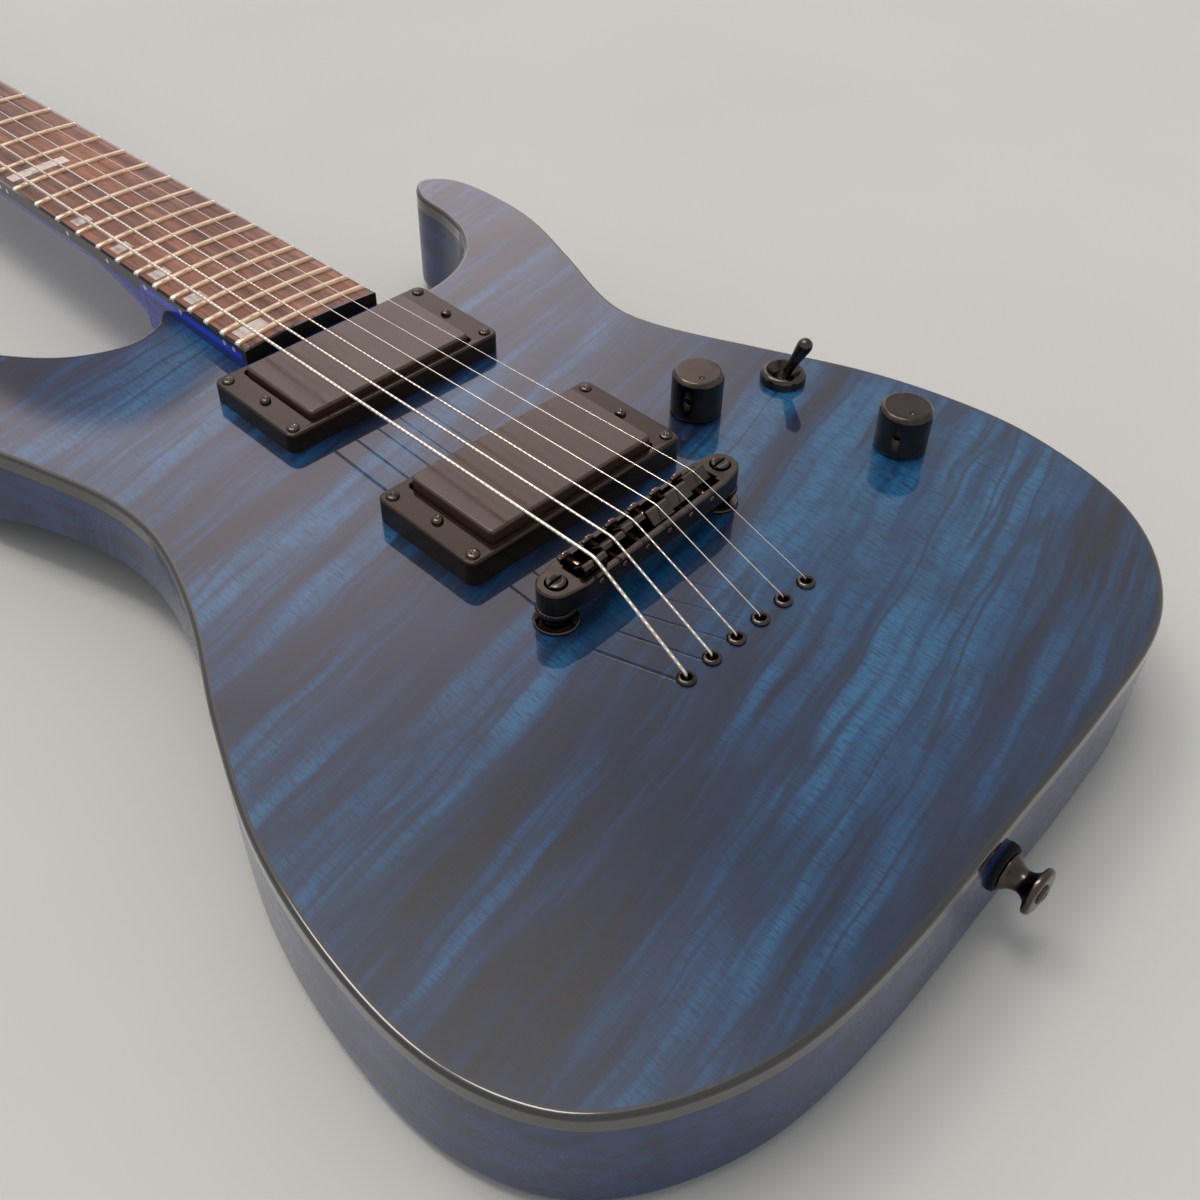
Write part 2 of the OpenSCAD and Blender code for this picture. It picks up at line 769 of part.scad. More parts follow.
module frets() {
    color(c_nickel) in_neck() intersection() {
        difference() {
            crown(fret_h);
            crown(seat_gap);
        }
        for (n = [1:fret_count])
            translate([-board_w(fret_y(n)) / 2 + fret_end_gap, fret_y(n) - fret_w / 2, -2 * past])
                cube([board_w(fret_y(n)) - 2 * fret_end_gap, fret_w, 4 * past]);
    }
}

function string_nut_z(i) = fret_h + string_over_fret + string_d[i] / 2;
module nut() {
    color(c_black) in_neck() difference() {
        translate([-board_w_nut / 2, scale_len + glue, neck_wood_z + glue])
            cube([board_w_nut, nut_len - 2 * glue, board_t + nut_rise]);
        for (i = [0:5])
            translate([string_x(i, nut_pitch) - string_d[i] / 2 - nut_slot_side, scale_len - past,
                       string_nut_z(i) - string_d[i] / 2 - fixed_gap])
                cube([string_d[i] + 2 * nut_slot_side, nut_len + 2 * past, nut_rise + past]);
    }
}

module truss_rod() {
    color(c_steel) in_neck() {
        translate([0, truss_start_y, truss_z]) rotate([-90, 0, 0])
            cylinder(r = truss_r, h = truss_end_y - truss_start_y);
        translate([0, truss_end_y - truss_nut[1], truss_z]) rotate([-90, 0, 0])
            cylinder(r = truss_nut[0], h = truss_nut[1], $fn = 6);
    }
}

// The rod's cover tapers from a wide foot at the nut to a round tip
rod_cover_t = 2.2;
rod_cover_foot = [20, 14];
rod_cover_foot_v = 8;
rod_cover_tip_r = 5;
rod_cover_tip_v = 34;
rod_cover_taper = [[-9.5, 12], [9.5, 12], [4.6, rod_cover_tip_v], [-4.6, rod_cover_tip_v]];
rod_cover_screw_vs = [3.5, rod_cover_tip_v];
module truss_rod_cover() {
    color(c_black) in_head() translate([0, 0, glue]) difference() {
        linear_extrude(height = rod_cover_t) {
            translate([0, rod_cover_foot_v]) rounded_rect(rod_cover_foot, 4);
            polygon(rod_cover_taper);
            translate([0, rod_cover_tip_v]) circle(rod_cover_tip_r);
        }
        for (v = rod_cover_screw_vs) translate([0, v, -past])
            cylinder(r = shaft_r(rod_cover_screw) + fixed_gap, h = rod_cover_t + 2 * past);
    }
}

// Strings: up through the body, over the saddle and the nut, then round the tuner post
function post_row(i) = i < 3 ? i : 5 - i;
function post_side(i) = i < 3 ? -1 : 1;
function post_at(i) = [post_side(i) * post_x, post_first + post_step * post_row(i)];

// The nut's end of a string in the headstock's frame, and the point where it meets its winding
function string_r(i) = string_d[i] / 2;
function head_from_neck(p) = turn_x(p - [0, scale_len + nut_len, neck_wood_z], head_angle);
function nut_exit(i) = head_from_neck([string_x(i, nut_pitch), scale_len + nut_len, string_nut_z(i)]);
function wind_r(i) = post_r + wind_clear + string_r(i);
function wind_pitch(i) = string_d[i] + wind_gap;
function wind_heading(i) =
    let (d = post_at(i) - [nut_exit(i)[0], nut_exit(i)[1]])
    atan2(d[1], d[0]) + post_side(i) * asin(wind_r(i) / norm(d));
function wind_angle(i, t) =
    wind_heading(i) + post_side(i) * 90 - post_side(i) * 360 * t;
wind_rings = 24;
function winding(i) =
    [for (k = [0:wind_rings * post_turns])
        let (t = k / wind_rings, a = wind_angle(i, t), p = post_at(i))
        [p[0] + wind_r(i) * cos(a), p[1] + wind_r(i) * sin(a),
         wind_start + string_r(i) + wind_pitch(i) * t]];

function saddle_face(i) = i < 3 ? 1 : -1;
function saddle_break(i) =
    bridge_pt([string_x(i, saddle_pitch), saddle_offset[i], saddle_rise + string_r(i) + string_lift]);
function ferrule_bend(i) = [ferrule_at(i)[0], ferrule_at(i)[1] + 0.2, body_t + 1.7];
function toward(a, b, d) = a + unit(b - a) * d;
function string_points(i) =
    let (f = ferrule_at(i), b = ferrule_bend(i), s = saddle_break(i),
         n = neck_pt([string_x(i, nut_pitch), scale_len, string_nut_z(i)]),
         e = neck_pt([string_x(i, nut_pitch), scale_len + nut_len, string_nut_z(i)]),
         w = [for (p = winding(i)) head_pt(p)])
    concat([[f[0], f[1], string_low_z], [f[0], f[1], body_t - 1], toward(b, [f[0], f[1], 0], 0.6), b,
            toward(b, s, 0.8), toward(s, b, 1), s, toward(s, n, 1), toward(n, s, 1), n, e,
            toward(e, w[0], 1)], w);

// Least gap between neighbouring turns, measured from the points of each winding
function winding_gap(i) =
    let (w = winding(i))
    min([for (k = [0:len(w) - 1 - wind_rings]) norm(w[k + wind_rings] - w[k])]) - string_d[i];
echo(least_gap_between_turns = min([for (i = [0:5]) winding_gap(i)]));

module strings() {
    color(c_steel) for (i = [0:5]) tube(string_points(i), string_r(i), string_sides);
    color(c_brass) for (i = [0:5]) translate([ferrule_at(i)[0] - ball_len / 2, ferrule_at(i)[1], ball_z])
        rotate([0, 90, 0]) cylinder(r = ball_r, h = ball_len);
}

module string_ferrules() {
    color(c_gunmetal) for (i = [0:5]) translate([ferrule_at(i)[0], ferrule_at(i)[1], 0]) {
        difference() {
            union() {
                translate([0, 0, body_t - ferrule_h]) cylinder(r = ferrule_r, h = ferrule_h + past);
                translate([0, 0, body_t + seat_gap]) cylinder(r = ferrule_flange_r, h = ferrule_rise);
            }
            translate([0, 0, body_t - ferrule_h - past])
                cylinder(r = string_bore_r, h = ferrule_h + ferrule_rise + 3 * past);
        }
        difference() {
            cylinder(r = cup_r, h = cup_h);
            translate([0, 0, -past]) cylinder(r = cup_bore_r, h = cup_h - cup_end + past);
            cylinder(r = string_bore_r, h = cup_h + past);
        }
    }
}

// Bridge, in its own frame: X along the bar, Y to the neck, Z up from the body's top
module bar_plan() {
    for (s = [-1, 1]) translate([s * stud_gap / 2, 0]) circle(bar_end_r);
    polygon([for (q = [[1, -1], [1, 1], [-1, 1], [-1, -1]])
                for (p = q[0] * q[1] > 0 ? [bar_neck, bar_shoulder] : [bar_shoulder, bar_neck])
                    [q[0] * p[0], q[1] * p[1]]]);
}

module bridge_bar() {
    color(c_gunmetal) in_bridge() difference() {
        translate([0, 0, bar_rise - bar_h]) linear_extrude(height = bar_h) bar_plan();
        translate([-channel_len / 2, -channel_half, channel_floor])
            cube([channel_len, 2 * channel_half, bar_h]);
        for (i = [0:5]) translate([string_x(i, saddle_pitch), -bar_half - past, saddle_screw_z])
            rotate([-90, 0, 0])
            cylinder(r = saddle_screw_r + run_gap, h = 2 * bar_half + 2 * past);
        for (s = [-1, 1]) translate([s * stud_gap / 2, 0, 0])
            cylinder(r = stud_neck_r + run_gap, h = bar_rise + past);
    }
}

module bridge_stud(s) {
    color(c_gunmetal) in_bridge() translate([s * stud_gap / 2, 0, 0]) difference() {
        union() {
            translate([0, 0, -stud_low]) cylinder(r = stud_r, h = stud_low + wheel_low + past / 2);
            translate([0, 0, wheel_low])
                cylinder(r = wheel_r, h = bar_rise - bar_h - wheel_low - free_gap / 3);
            cylinder(r = stud_neck_r, h = bar_rise + stud_top);
        }
        translate([-stud_slot[0] / 2, -stud_slot[1] / 2, bar_rise + stud_slot_rise]) cube(stud_slot);
    }
}

module bridge_bushings() {
    color(c_black) in_bridge() for (s = [-1, 1]) translate([s * stud_gap / 2, 0, 0]) difference() {
        union() {
            translate([0, 0, -bushing_h]) cylinder(r = bushing_r, h = bushing_h + bushing_flange[1] / 2);
            translate([0, 0, seat_gap]) cylinder(r = bushing_flange[0], h = bushing_flange[1]);
        }
        translate([0, 0, past - bushing_h]) cylinder(r = stud_r + run_gap, h = bushing_h + 3 * past);
    }
}

module saddle(i) {
    x = string_x(i, saddle_pitch);
    back = -ridge_inset;
    front = saddle_len - ridge_inset;
    bottom = channel_floor + free_gap;
    color(c_gunmetal) in_bridge() translate([x, saddle_offset[i], 0]) difference() {
        rotate([0, 0, saddle_face(i) > 0 ? 0 : 180]) rotate([90, 0, 90]) translate([0, 0, -saddle_w / 2])
            linear_extrude(height = saddle_w)
                polygon([[back, bottom], [back, saddle_rise - ridge_back_drop], [-ridge_half, saddle_rise],
                         [ridge_half, saddle_rise], [front, saddle_rise - ridge_front_drop],
                         [front, bottom]]);
        translate([0, -2 * saddle_len, saddle_screw_z]) rotate([-90, 0, 0])
            cylinder(r = saddle_screw_r + run_gap, h = 4 * saddle_len);
    }
}

module saddle_screw(i) {
    color(c_nickel) in_bridge() translate([string_x(i, saddle_pitch), 0, saddle_screw_z]) rotate([-90, 0, 0])
        difference() {
            union() {
                translate([0, 0, -bar_half])
                    cylinder(r = saddle_screw_r, h = 2 * bar_half + saddle_head_h / 3);
                translate([0, 0, bar_half + run_gap]) cylinder(r = saddle_head_r, h = saddle_head_h);
            }
            translate([-saddle_slot[0] / 2, -saddle_slot[1] / 2, bar_half + saddle_slot_rise])
                cube(saddle_slot);
        }
}

// Pickups
module pickup_ring(h) {
    difference() {
        linear_extrude(height = h) difference() {
            rounded_rect(ring_size, ring_corner);
            rounded_rect(ring_opening, opening_corner);
        }
        ring_corners() translate([0, 0, -past])
            cylinder(r = shaft_r(ring_screw) + fixed_gap, h = h + 2 * past);
        for (s = [-1, 1]) translate([s * height_screw_x, 0, -past])
            cylinder(r = shaft_r(height_screw) + fixed_gap, h = h + 2 * past);
    }
}

module pickup_rings() {
    color(c_black) translate([0, 0, body_t + seat_gap]) {
        translate([0, bridge_pickup_y, 0]) pickup_ring(bridge_ring_h);
        translate([0, neck_pickup_y, 0]) pickup_ring(neck_ring_h);
    }
}

module pickup(y, top) {
    color(c_black) translate([0, y, body_t]) {
        translate([0, 0, top - cover_h]) linear_extrude(height = cover_h)
            rounded_rect(cover_size, cover_corner);
        for (s = [-1, 1]) translate([0, 0, -tab_drop - tab_size[2]]) difference() {
            translate([s * (cover_size[0] / 2 + tab_out), 0, tab_size[2] / 2]) cube(tab_size, center = true);
            translate([s * height_screw_x, 0, -past])
                cylinder(r = shaft_r(height_screw) + run_gap, h = tab_size[2] + 2 * past);
        }
    }
}

module pickup_springs() {
    color(c_steel) each_pickup() for (s = [-1, 1]) translate([s * height_screw_x, 0, -tab_drop + fixed_gap])
        difference() {
            cylinder(r = spring_r, h = tab_drop - 2 * fixed_gap);
            translate([0, 0, -past]) cylinder(r = spring_bore_r, h = tab_drop + 2 * past);
        }
}

// A screw whose head stands on z = 0, with a cross cut into the head
cross_w = 0.6;
cross_reach = 0.65;
cross_floor = 0.45;
module cross_screw(screw, longer = 0) {
    r = head_r(screw);
    h = head_h(screw);
    length = shaft_len(screw) + longer;
    difference() {
        union() {
            translate([0, 0, seat_gap]) cylinder(r = r, h = h);
            translate([0, 0, -length]) cylinder(r = shaft_r(screw), h = length + h / 2);
        }
        for (a = [0, 90]) rotate([0, 0, a]) translate([-r * cross_reach, -cross_w / 2, h * cross_floor])
            cube([2 * r * cross_reach, cross_w, h]);
    }
}

module pickup_screw_set(y, ring_h) {
    translate([0, y, body_t + ring_h + seat_gap]) {
        ring_corners() cross_screw(ring_screw, ring_h);
        for (s = [-1, 1]) translate([s * height_screw_x, 0, 0]) cross_screw(height_screw);
    }
}

module screws() {
    color(c_gunmetal) {
        pickup_screw_set(bridge_pickup_y, bridge_ring_h);
        pickup_screw_set(neck_pickup_y, neck_ring_h);
        for (p = cover_screw_places()) translate([p[0], p[1], cover_screw_z]) rotate([180, 0, 0])
            cross_screw(cover_screw);
        for (s = [-1, 1]) translate([jack_face_x + jack_screw_rise, jack_y + s * jack_screw_gap, jack_z])
            rotate([0, 90, 0]) cross_screw(jack_screw);
        at_straps() translate([0, 0, strap_screw_out]) cross_screw(strap_screw);
        in_head() for (i = [0:5])
            translate([post_at(i)[0], post_at(i)[1] - tuner_screw_v, -head_t - housing_tab_t - fixed_gap])
                rotate([180, 0, 0]) cross_screw(tuner_screw);
        in_head() for (v = rod_cover_screw_vs) translate([0, v, rod_cover_t + glue])
            cross_screw(rod_cover_screw);
    }
}

// Controls
module pot(at) {
    translate([at[0], at[1], 0]) difference() {
        union() {
            translate([0, 0, cavity_depth - pot_h]) cylinder(r = pot_r, h = pot_h - fixed_gap);
            translate([0, 0, cavity_depth - past])
                cylinder(r = pot_bush_r, h = control_top + pot_bush_rise + past);
            translate([0, 0, body_t + seat_gap]) cylinder(r = pot_nut[0], h = pot_nut[1]);
            translate([0, 0, cavity_depth] + pot_lugs_at) cube(pot_lugs);
        }
        translate([0, 0, cavity_depth - pot_bore_depth]) cylinder(r = pot_shaft_r + run_gap, h = body_t);
    }
}

module pots() {
    color(c_steel) {
        pot(volume_at);
        pot(tone_at);
    }
}

module knob(at) {
    translate([at[0], at[1], body_t + knob_lift]) {
        color(c_gunmetal) difference() {
            union() {
                cylinder(r = knob_d / 2, h = knob_h - knob_bevel);
                translate([0, 0, knob_h - knob_bevel])
                    cylinder(r1 = knob_d / 2, r2 = knob_d / 2 - knob_bevel, h = knob_bevel);
            }
            translate([0, 0, -past]) cylinder(r = knob_hollow[0], h = knob_hollow[1] + past);
            cylinder(r = pot_shaft_r + run_gap, h = knob_h - knob_bore_end);
            rotate([0, 0, set_screw_turn]) translate([0, 0, set_screw_z]) rotate([0, 90, 0])
                cylinder(r = set_screw_r, h = knob_d);
        }
    }
    color(c_steel) translate([at[0], at[1], shaft_base])
        cylinder(r = pot_shaft_r, h = body_t + knob_lift + knob_h - shaft_top_gap - shaft_base);
}

module volume_knob() {
    knob(volume_at);
}
module tone_knob() {
    knob(tone_at);
}

// Toggle switch: its case hangs in the cavity, and the lever turns on a barrel across the bush
module toggle_barrel(grow) {
    rotate([90, 0, 0]) cylinder(r = toggle_barrel[0] + grow, h = toggle_barrel[1] + 10 * grow, center = true);
}

module toggle_switch() {
    color(c_black) translate([toggle_at[0], toggle_at[1], 0]) rotate([0, 0, toggle_turn]) difference() {
        union() {
            translate([-toggle_case[0] / 2, -toggle_case[1] / 2, cavity_depth - toggle_case[2]])
                cube(toggle_case - [0, 0, fixed_gap]);
            translate([0, 0, cavity_depth - past]) cylinder(r = toggle_bush_r, h = control_top + 2 * past);
            translate([0, 0, body_t + seat_gap]) cylinder(r = toggle_nut_r, h = toggle_nut_h);
            translate([0, 0, body_t + toggle_nut_h])
                cylinder(r1 = toggle_nut_r, r2 = toggle_nut_top_r, h = toggle_nut_bevel);
        }
        translate([0, 0, toggle_pivot]) toggle_barrel(run_gap);
        translate([0, 0, toggle_pivot])
            cylinder(r1 = toggle_mouth[0], r2 = toggle_mouth[1], h = toggle_mouth[2]);
    }
}

module toggle_lever() {
    color(c_black) translate([toggle_at[0], toggle_at[1], toggle_pivot]) rotate([0, 0, toggle_turn])
        rotate([0, toggle_lean, 0]) {
            toggle_barrel(0);
            cylinder(r1 = lever_r, r2 = lever_tip_r, h = lever_len);
            translate([0, 0, lever_len]) sphere(r = lever_tip_r);
        }
}

// Output jack, with its plug bore along X
module output_jack() {
    color(c_steel) translate([0, jack_y, jack_z]) rotate([0, 90, 0]) difference() {
        union() {
            translate([0, 0, jack_face_x - jack_len])
                cylinder(r = jack_r, h = jack_len - jack_plate_t - 2 * fixed_gap);
            translate([0, 0, jack_face_x - jack_plate_t - past])
                cylinder(r = jack_collar_r, h = jack_plate_t + jack_collar_rise + past);
            translate([0, 0, jack_face_x + seat_gap]) cylinder(r = jack_nut[0], h = jack_nut[1], $fn = 6);
        }
        translate([0, 0, jack_face_x - jack_bore_depth])
            cylinder(r = jack_bore_r, h = jack_bore_depth + jack_collar_rise + past);
    }
}

module jack_plate() {
    color(c_black) translate([jack_face_x - jack_plate_t + fixed_gap, jack_y, jack_z]) rotate([90, 0, 90])
        difference() {
            linear_extrude(height = jack_plate_t - fixed_gap)
                rounded_rect(jack_plate_size, jack_plate_corner);
            translate([0, 0, -past]) cylinder(r = jack_collar_r + fixed_gap, h = jack_plate_t + 2 * past);
            for (s = [-1, 1]) translate([s * jack_screw_gap, 0, -past])
                cylinder(r = shaft_r(jack_screw) + fixed_gap, h = jack_plate_t + 2 * past);
            for (s = [-1, 1]) translate([s * jack_screw_gap, 0, jack_plate_t - jack_screw_rise])
                cylinder(r = jack_sink_r, h = past);
        }
}

module cavity_cover() {
    color(c_black) difference() {
        linear_extrude(height = cover_t) polygon(inset(cavity_outline, -cover_ledge));
        for (p = cover_screw_places()) translate([p[0], p[1], -past]) {
            cylinder(r = shaft_r(cover_screw) + fixed_gap, h = cover_t + 2 * past);
            cylinder(r = head_r(cover_screw) + fixed_gap, h = cover_screw_z + past);
        }
    }
}

module battery() {
    color(c_black) translate([battery_at[0], battery_at[1], cover_t + battery_lift]) {
        cube(battery_size);
        for (x = terminal_xs) translate([x, battery_size[1] - past / 2, battery_size[2] / 2])
            rotate([-90, 0, 0])
                cylinder(r = terminal_r, h = terminal_h);
    }
}

// Wires inside the body, each a list of points laid by hand
wire_r = 1.1;
wire_sides = 8;
wire_routes = [
    [[18, 112, 26.5], [18, 90, 26.5], [18, 66, 26.5], [20, 52, 26.5], [27, 40, 26.5], [34, 37.2, 26.5],
     [44, 37.2, 26.5], [53.6, 38.5, 26], [54, 42, 20], [57, 43.5, 15], [62, 40, 15]],
    [[-6, 46, 26.5], [8, 42, 26.5], [22, 35, 26.5], [34, 34.6, 26.5], [46, 34.4, 26.5], [53.6, 33.6, 26],
     [54.4, 29, 19], [60, 24, 15]],
    [[100, -44, 14], [103, -47, 15], [105.5, -49.5, 18], [107, -51, 20]],
    [[76, 18, 14], [84, 20, 13], [90, 21, 15], [95, 23, 16]]];

module wiring() {
    color(c_black) for (w = wire_routes) tube(w, wire_r, wire_sides, [0, 0, 1]);
}

// Strap buttons and felts, turned about their screws
strap_profile = [[0, 0], [5.6, 0], [5.6, 0.8], [4.4, 2], [3.4, 4], [3.4, 5.6], [4.6, 7.6], [7, 8.4], [7, 9.6],
                 [6.2, 10.4], [0, 10.4]];
strap_button_out = 2.6;
felt_r = 7.2;
felt_in = 4;
module strap_bore() {
    translate([0, 0, -past]) cylinder(r = shaft_r(strap_screw) + fixed_gap, h = 20);
}

module strap_buttons() {
    color(c_gunmetal) at_straps() translate([0, 0, strap_button_out]) difference() {
        rotate_extrude() polygon(strap_profile);
        strap_bore();
    }
}

module strap_felts() {
    color(c_black) difference() {
        at_straps() translate([0, 0, -felt_in]) difference() {
            cylinder(r = felt_r, h = felt_in + strap_button_out - fixed_gap);
            strap_bore();
        }
        linear_extrude(height = body_t) polygon(inset(body_outline, -fixed_gap));
    }
}

// Tuners, in the headstock's frame: each shaft runs to the side its post is on
module tuner_housings() {
    color(c_black) for (i = [0:5]) in_head() translate([post_at(i)[0], post_at(i)[1], -head_t - seat_gap])
        difference() {
            union() {
                translate([housing_low[0], housing_low[1], -housing_h])
                    cube([housing_size[0], housing_size[1], housing_h]);
                translate([0, worm_offset, -shaft_drop]) rotate([0, post_side(i) * 90, 0])
                    cylinder(r = collar_r, h = collar_len);
            }
            translate([0, 0, -shaft_drop - gear_t / 2 - past / 2])
                cylinder(r = gear_r + free_gap, h = gear_t + past);
            translate([-worm_len / 2 - 2 * free_gap, worm_offset, -shaft_drop]) rotate([0, 90, 0])
                cylinder(r = worm_r + free_gap, h = worm_len + 4 * free_gap);
            translate([0, worm_offset, -shaft_drop]) rotate([0, post_side(i) * 90, 0])
                cylinder(r = button_shaft_r + run_gap, h = button_start);
            translate([0, 0, -shaft_drop]) cylinder(r = post_r + run_gap, h = housing_h);
            translate([0, -tuner_screw_v, -housing_h - past])
                cylinder(r = shaft_r(tuner_screw) + fixed_gap, h = housing_h + 2 * past);
            translate([housing_low[0] - past, housing_low[1] - past, -housing_h - past])
                cube([housing_size[0] + 2 * past, housing_tab_v - housing_low[1] + past,
                      housing_h - housing_tab_t + past]);
        }
}

module tuner_bushings() {
    color(c_gunmetal) for (i = [0:5]) in_head() translate([post_at(i)[0], post_at(i)[1], 0]) difference() {
        union() {
            translate([0, 0, -post_bush_h])
                cylinder(r = post_bush_r - fixed_gap, h = post_bush_h + post_nut_z);
            translate([0, 0, seat_gap]) cylinder(r = post_washer[0], h = post_washer[1]);
            translate([0, 0, post_nut_z]) cylinder(r = post_nut[0], h = post_nut[1], $fn = 6);
        }
        translate([0, 0, -post_bush_h - past])
            cylinder(r = post_r + run_gap, h = post_bush_h + post_nut[1] + 3 * past);
    }
}

module tuner_post(i) {
    low = head_t + shaft_drop + gear_t / 2;
    color(c_gunmetal) in_head() translate([post_at(i)[0], post_at(i)[1], 0]) difference() {
        union() {
            translate([0, 0, -low]) cylinder(r = post_r, h = low + post_rise);
            translate([0, 0, -low]) cylinder(r = gear_r, h = gear_t);
        }
        translate([-2 * post_r, 0, wind_start + post_hole_rise]) rotate([0, 90, 0])
            cylinder(r = post_hole_r, h = 4 * post_r);
        translate([0, 0, post_rise - post_dimple[1]]) cylinder(r = post_dimple[0], h = post_dimple[1] + past);
    }
}

module tuner_button(i) {
    s = post_side(i);
    color(c_black) in_head()
        translate([post_at(i)[0], post_at(i)[1] + worm_offset, -head_t - shaft_drop - seat_gap]) {
            rotate([0, s * 90, 0]) translate([0, 0, -worm_len / 2])
                cylinder(r = button_shaft_r, h = worm_len / 2 + button_start + past);
            rotate([0, s * 90, 0]) translate([0, 0, -worm_len / 2]) cylinder(r = worm_r, h = worm_len);
            translate([s * (button_start + button_size[0] / 2), 0, -button_t / 2])
                linear_extrude(height = button_t) rounded_rect(button_size, button_corner);
        }
}

body_back();
body_top();
body_binding();
neck();
fingerboard();
fingerboard_binding();
frets();
position_markers();
nut();
truss_rod();
truss_rod_cover();
strings();
string_ferrules();
bridge_bar();
bridge_stud(-1);  // bridge_stud_bass
bridge_stud(1);  // bridge_stud_treble
bridge_bushings();
pickup_rings();
pickup(bridge_pickup_y, bridge_cover_h);  // bridge_pickup
pickup(neck_pickup_y, neck_cover_h);  // neck_pickup
pickup_springs();
screws();
pots();
volume_knob();
tone_knob();
toggle_switch();
toggle_lever();
output_jack();
jack_plate();
cavity_cover();
battery();
wiring();
strap_buttons();
strap_felts();
tuner_housings();
tuner_bushings();
for (i = [0:5]) saddle(i);
for (i = [0:5]) saddle_screw(i);
for (i = [0:5]) tuner_post(i);
for (i = [0:5]) tuner_button(i);
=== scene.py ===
"""Finished look of a solid-body electric guitar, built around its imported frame."""

import logging
import math
from collections.abc import Callable, Sequence
from dataclasses import dataclass, field
from enum import Enum
from typing import ClassVar

import bmesh
import bpy
from bpy.types import Material, Mesh, Node, NodeSocket, NodeTree, Object
from mathutils import Matrix, Vector
from mathutils.geometry import intersect_line_line_2d


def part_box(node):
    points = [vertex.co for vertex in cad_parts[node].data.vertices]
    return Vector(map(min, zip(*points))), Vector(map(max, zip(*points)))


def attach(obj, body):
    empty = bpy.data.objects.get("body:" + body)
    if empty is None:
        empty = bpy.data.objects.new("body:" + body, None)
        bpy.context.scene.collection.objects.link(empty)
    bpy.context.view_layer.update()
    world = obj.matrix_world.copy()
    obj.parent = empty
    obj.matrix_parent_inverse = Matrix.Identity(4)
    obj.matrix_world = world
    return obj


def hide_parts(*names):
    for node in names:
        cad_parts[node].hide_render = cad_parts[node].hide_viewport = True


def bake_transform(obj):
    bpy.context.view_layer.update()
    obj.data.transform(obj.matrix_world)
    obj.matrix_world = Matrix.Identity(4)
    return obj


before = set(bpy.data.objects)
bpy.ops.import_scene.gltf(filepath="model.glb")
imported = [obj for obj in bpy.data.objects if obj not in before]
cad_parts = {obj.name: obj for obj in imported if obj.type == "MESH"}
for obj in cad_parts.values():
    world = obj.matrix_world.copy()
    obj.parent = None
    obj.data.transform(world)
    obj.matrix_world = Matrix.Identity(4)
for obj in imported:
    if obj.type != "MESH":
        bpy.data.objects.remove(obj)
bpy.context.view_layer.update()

LOG = logging.getLogger("guitar")
MM = 0.001
SHARP = 38.0
LOOP_REACH = 11
WIRE_SIDES = 10
Colour = tuple[float, float, float]
Flat = tuple[float, float]
Spot = tuple[float, float, float]
Ripple = Callable[[float, float], float]


class Slot(Enum):
    """Material slots of the record."""

    TOP = "top_blue"
    SIDE = "side_blue"
    BINDING = "binding_black"
    BOARD = "rosewood"
    FRET = "fret_nickel"
    PEARL = "pearl"
    PLASTIC = "black_plastic"
    GLOSS = "black_gloss"
    METAL = "black_metal"
    STRING = "string_steel"
    STEEL = "inner_steel"
    FELT = "felt"
    WIRE = "wire"


class Cut(Enum):
    """What one solid does to another."""

    AWAY = "DIFFERENCE"
    JOIN = "UNION"


def turn(degrees: float, axis: str) -> Matrix:
    """Returns a turn about one axis."""
    return Matrix.Rotation(math.radians(degrees), 4, axis)


def move(x: float, y: float, z: float) -> Matrix:
    """Returns a move in millimetres."""
    return Matrix.Translation((x, y, z))


def swell(radius: float, height: float) -> Matrix:
    """Returns a scaling of a piece one millimetre in radius and in height."""
    return Matrix.Diagonal((radius, radius, height, 1.0))


# Node trees


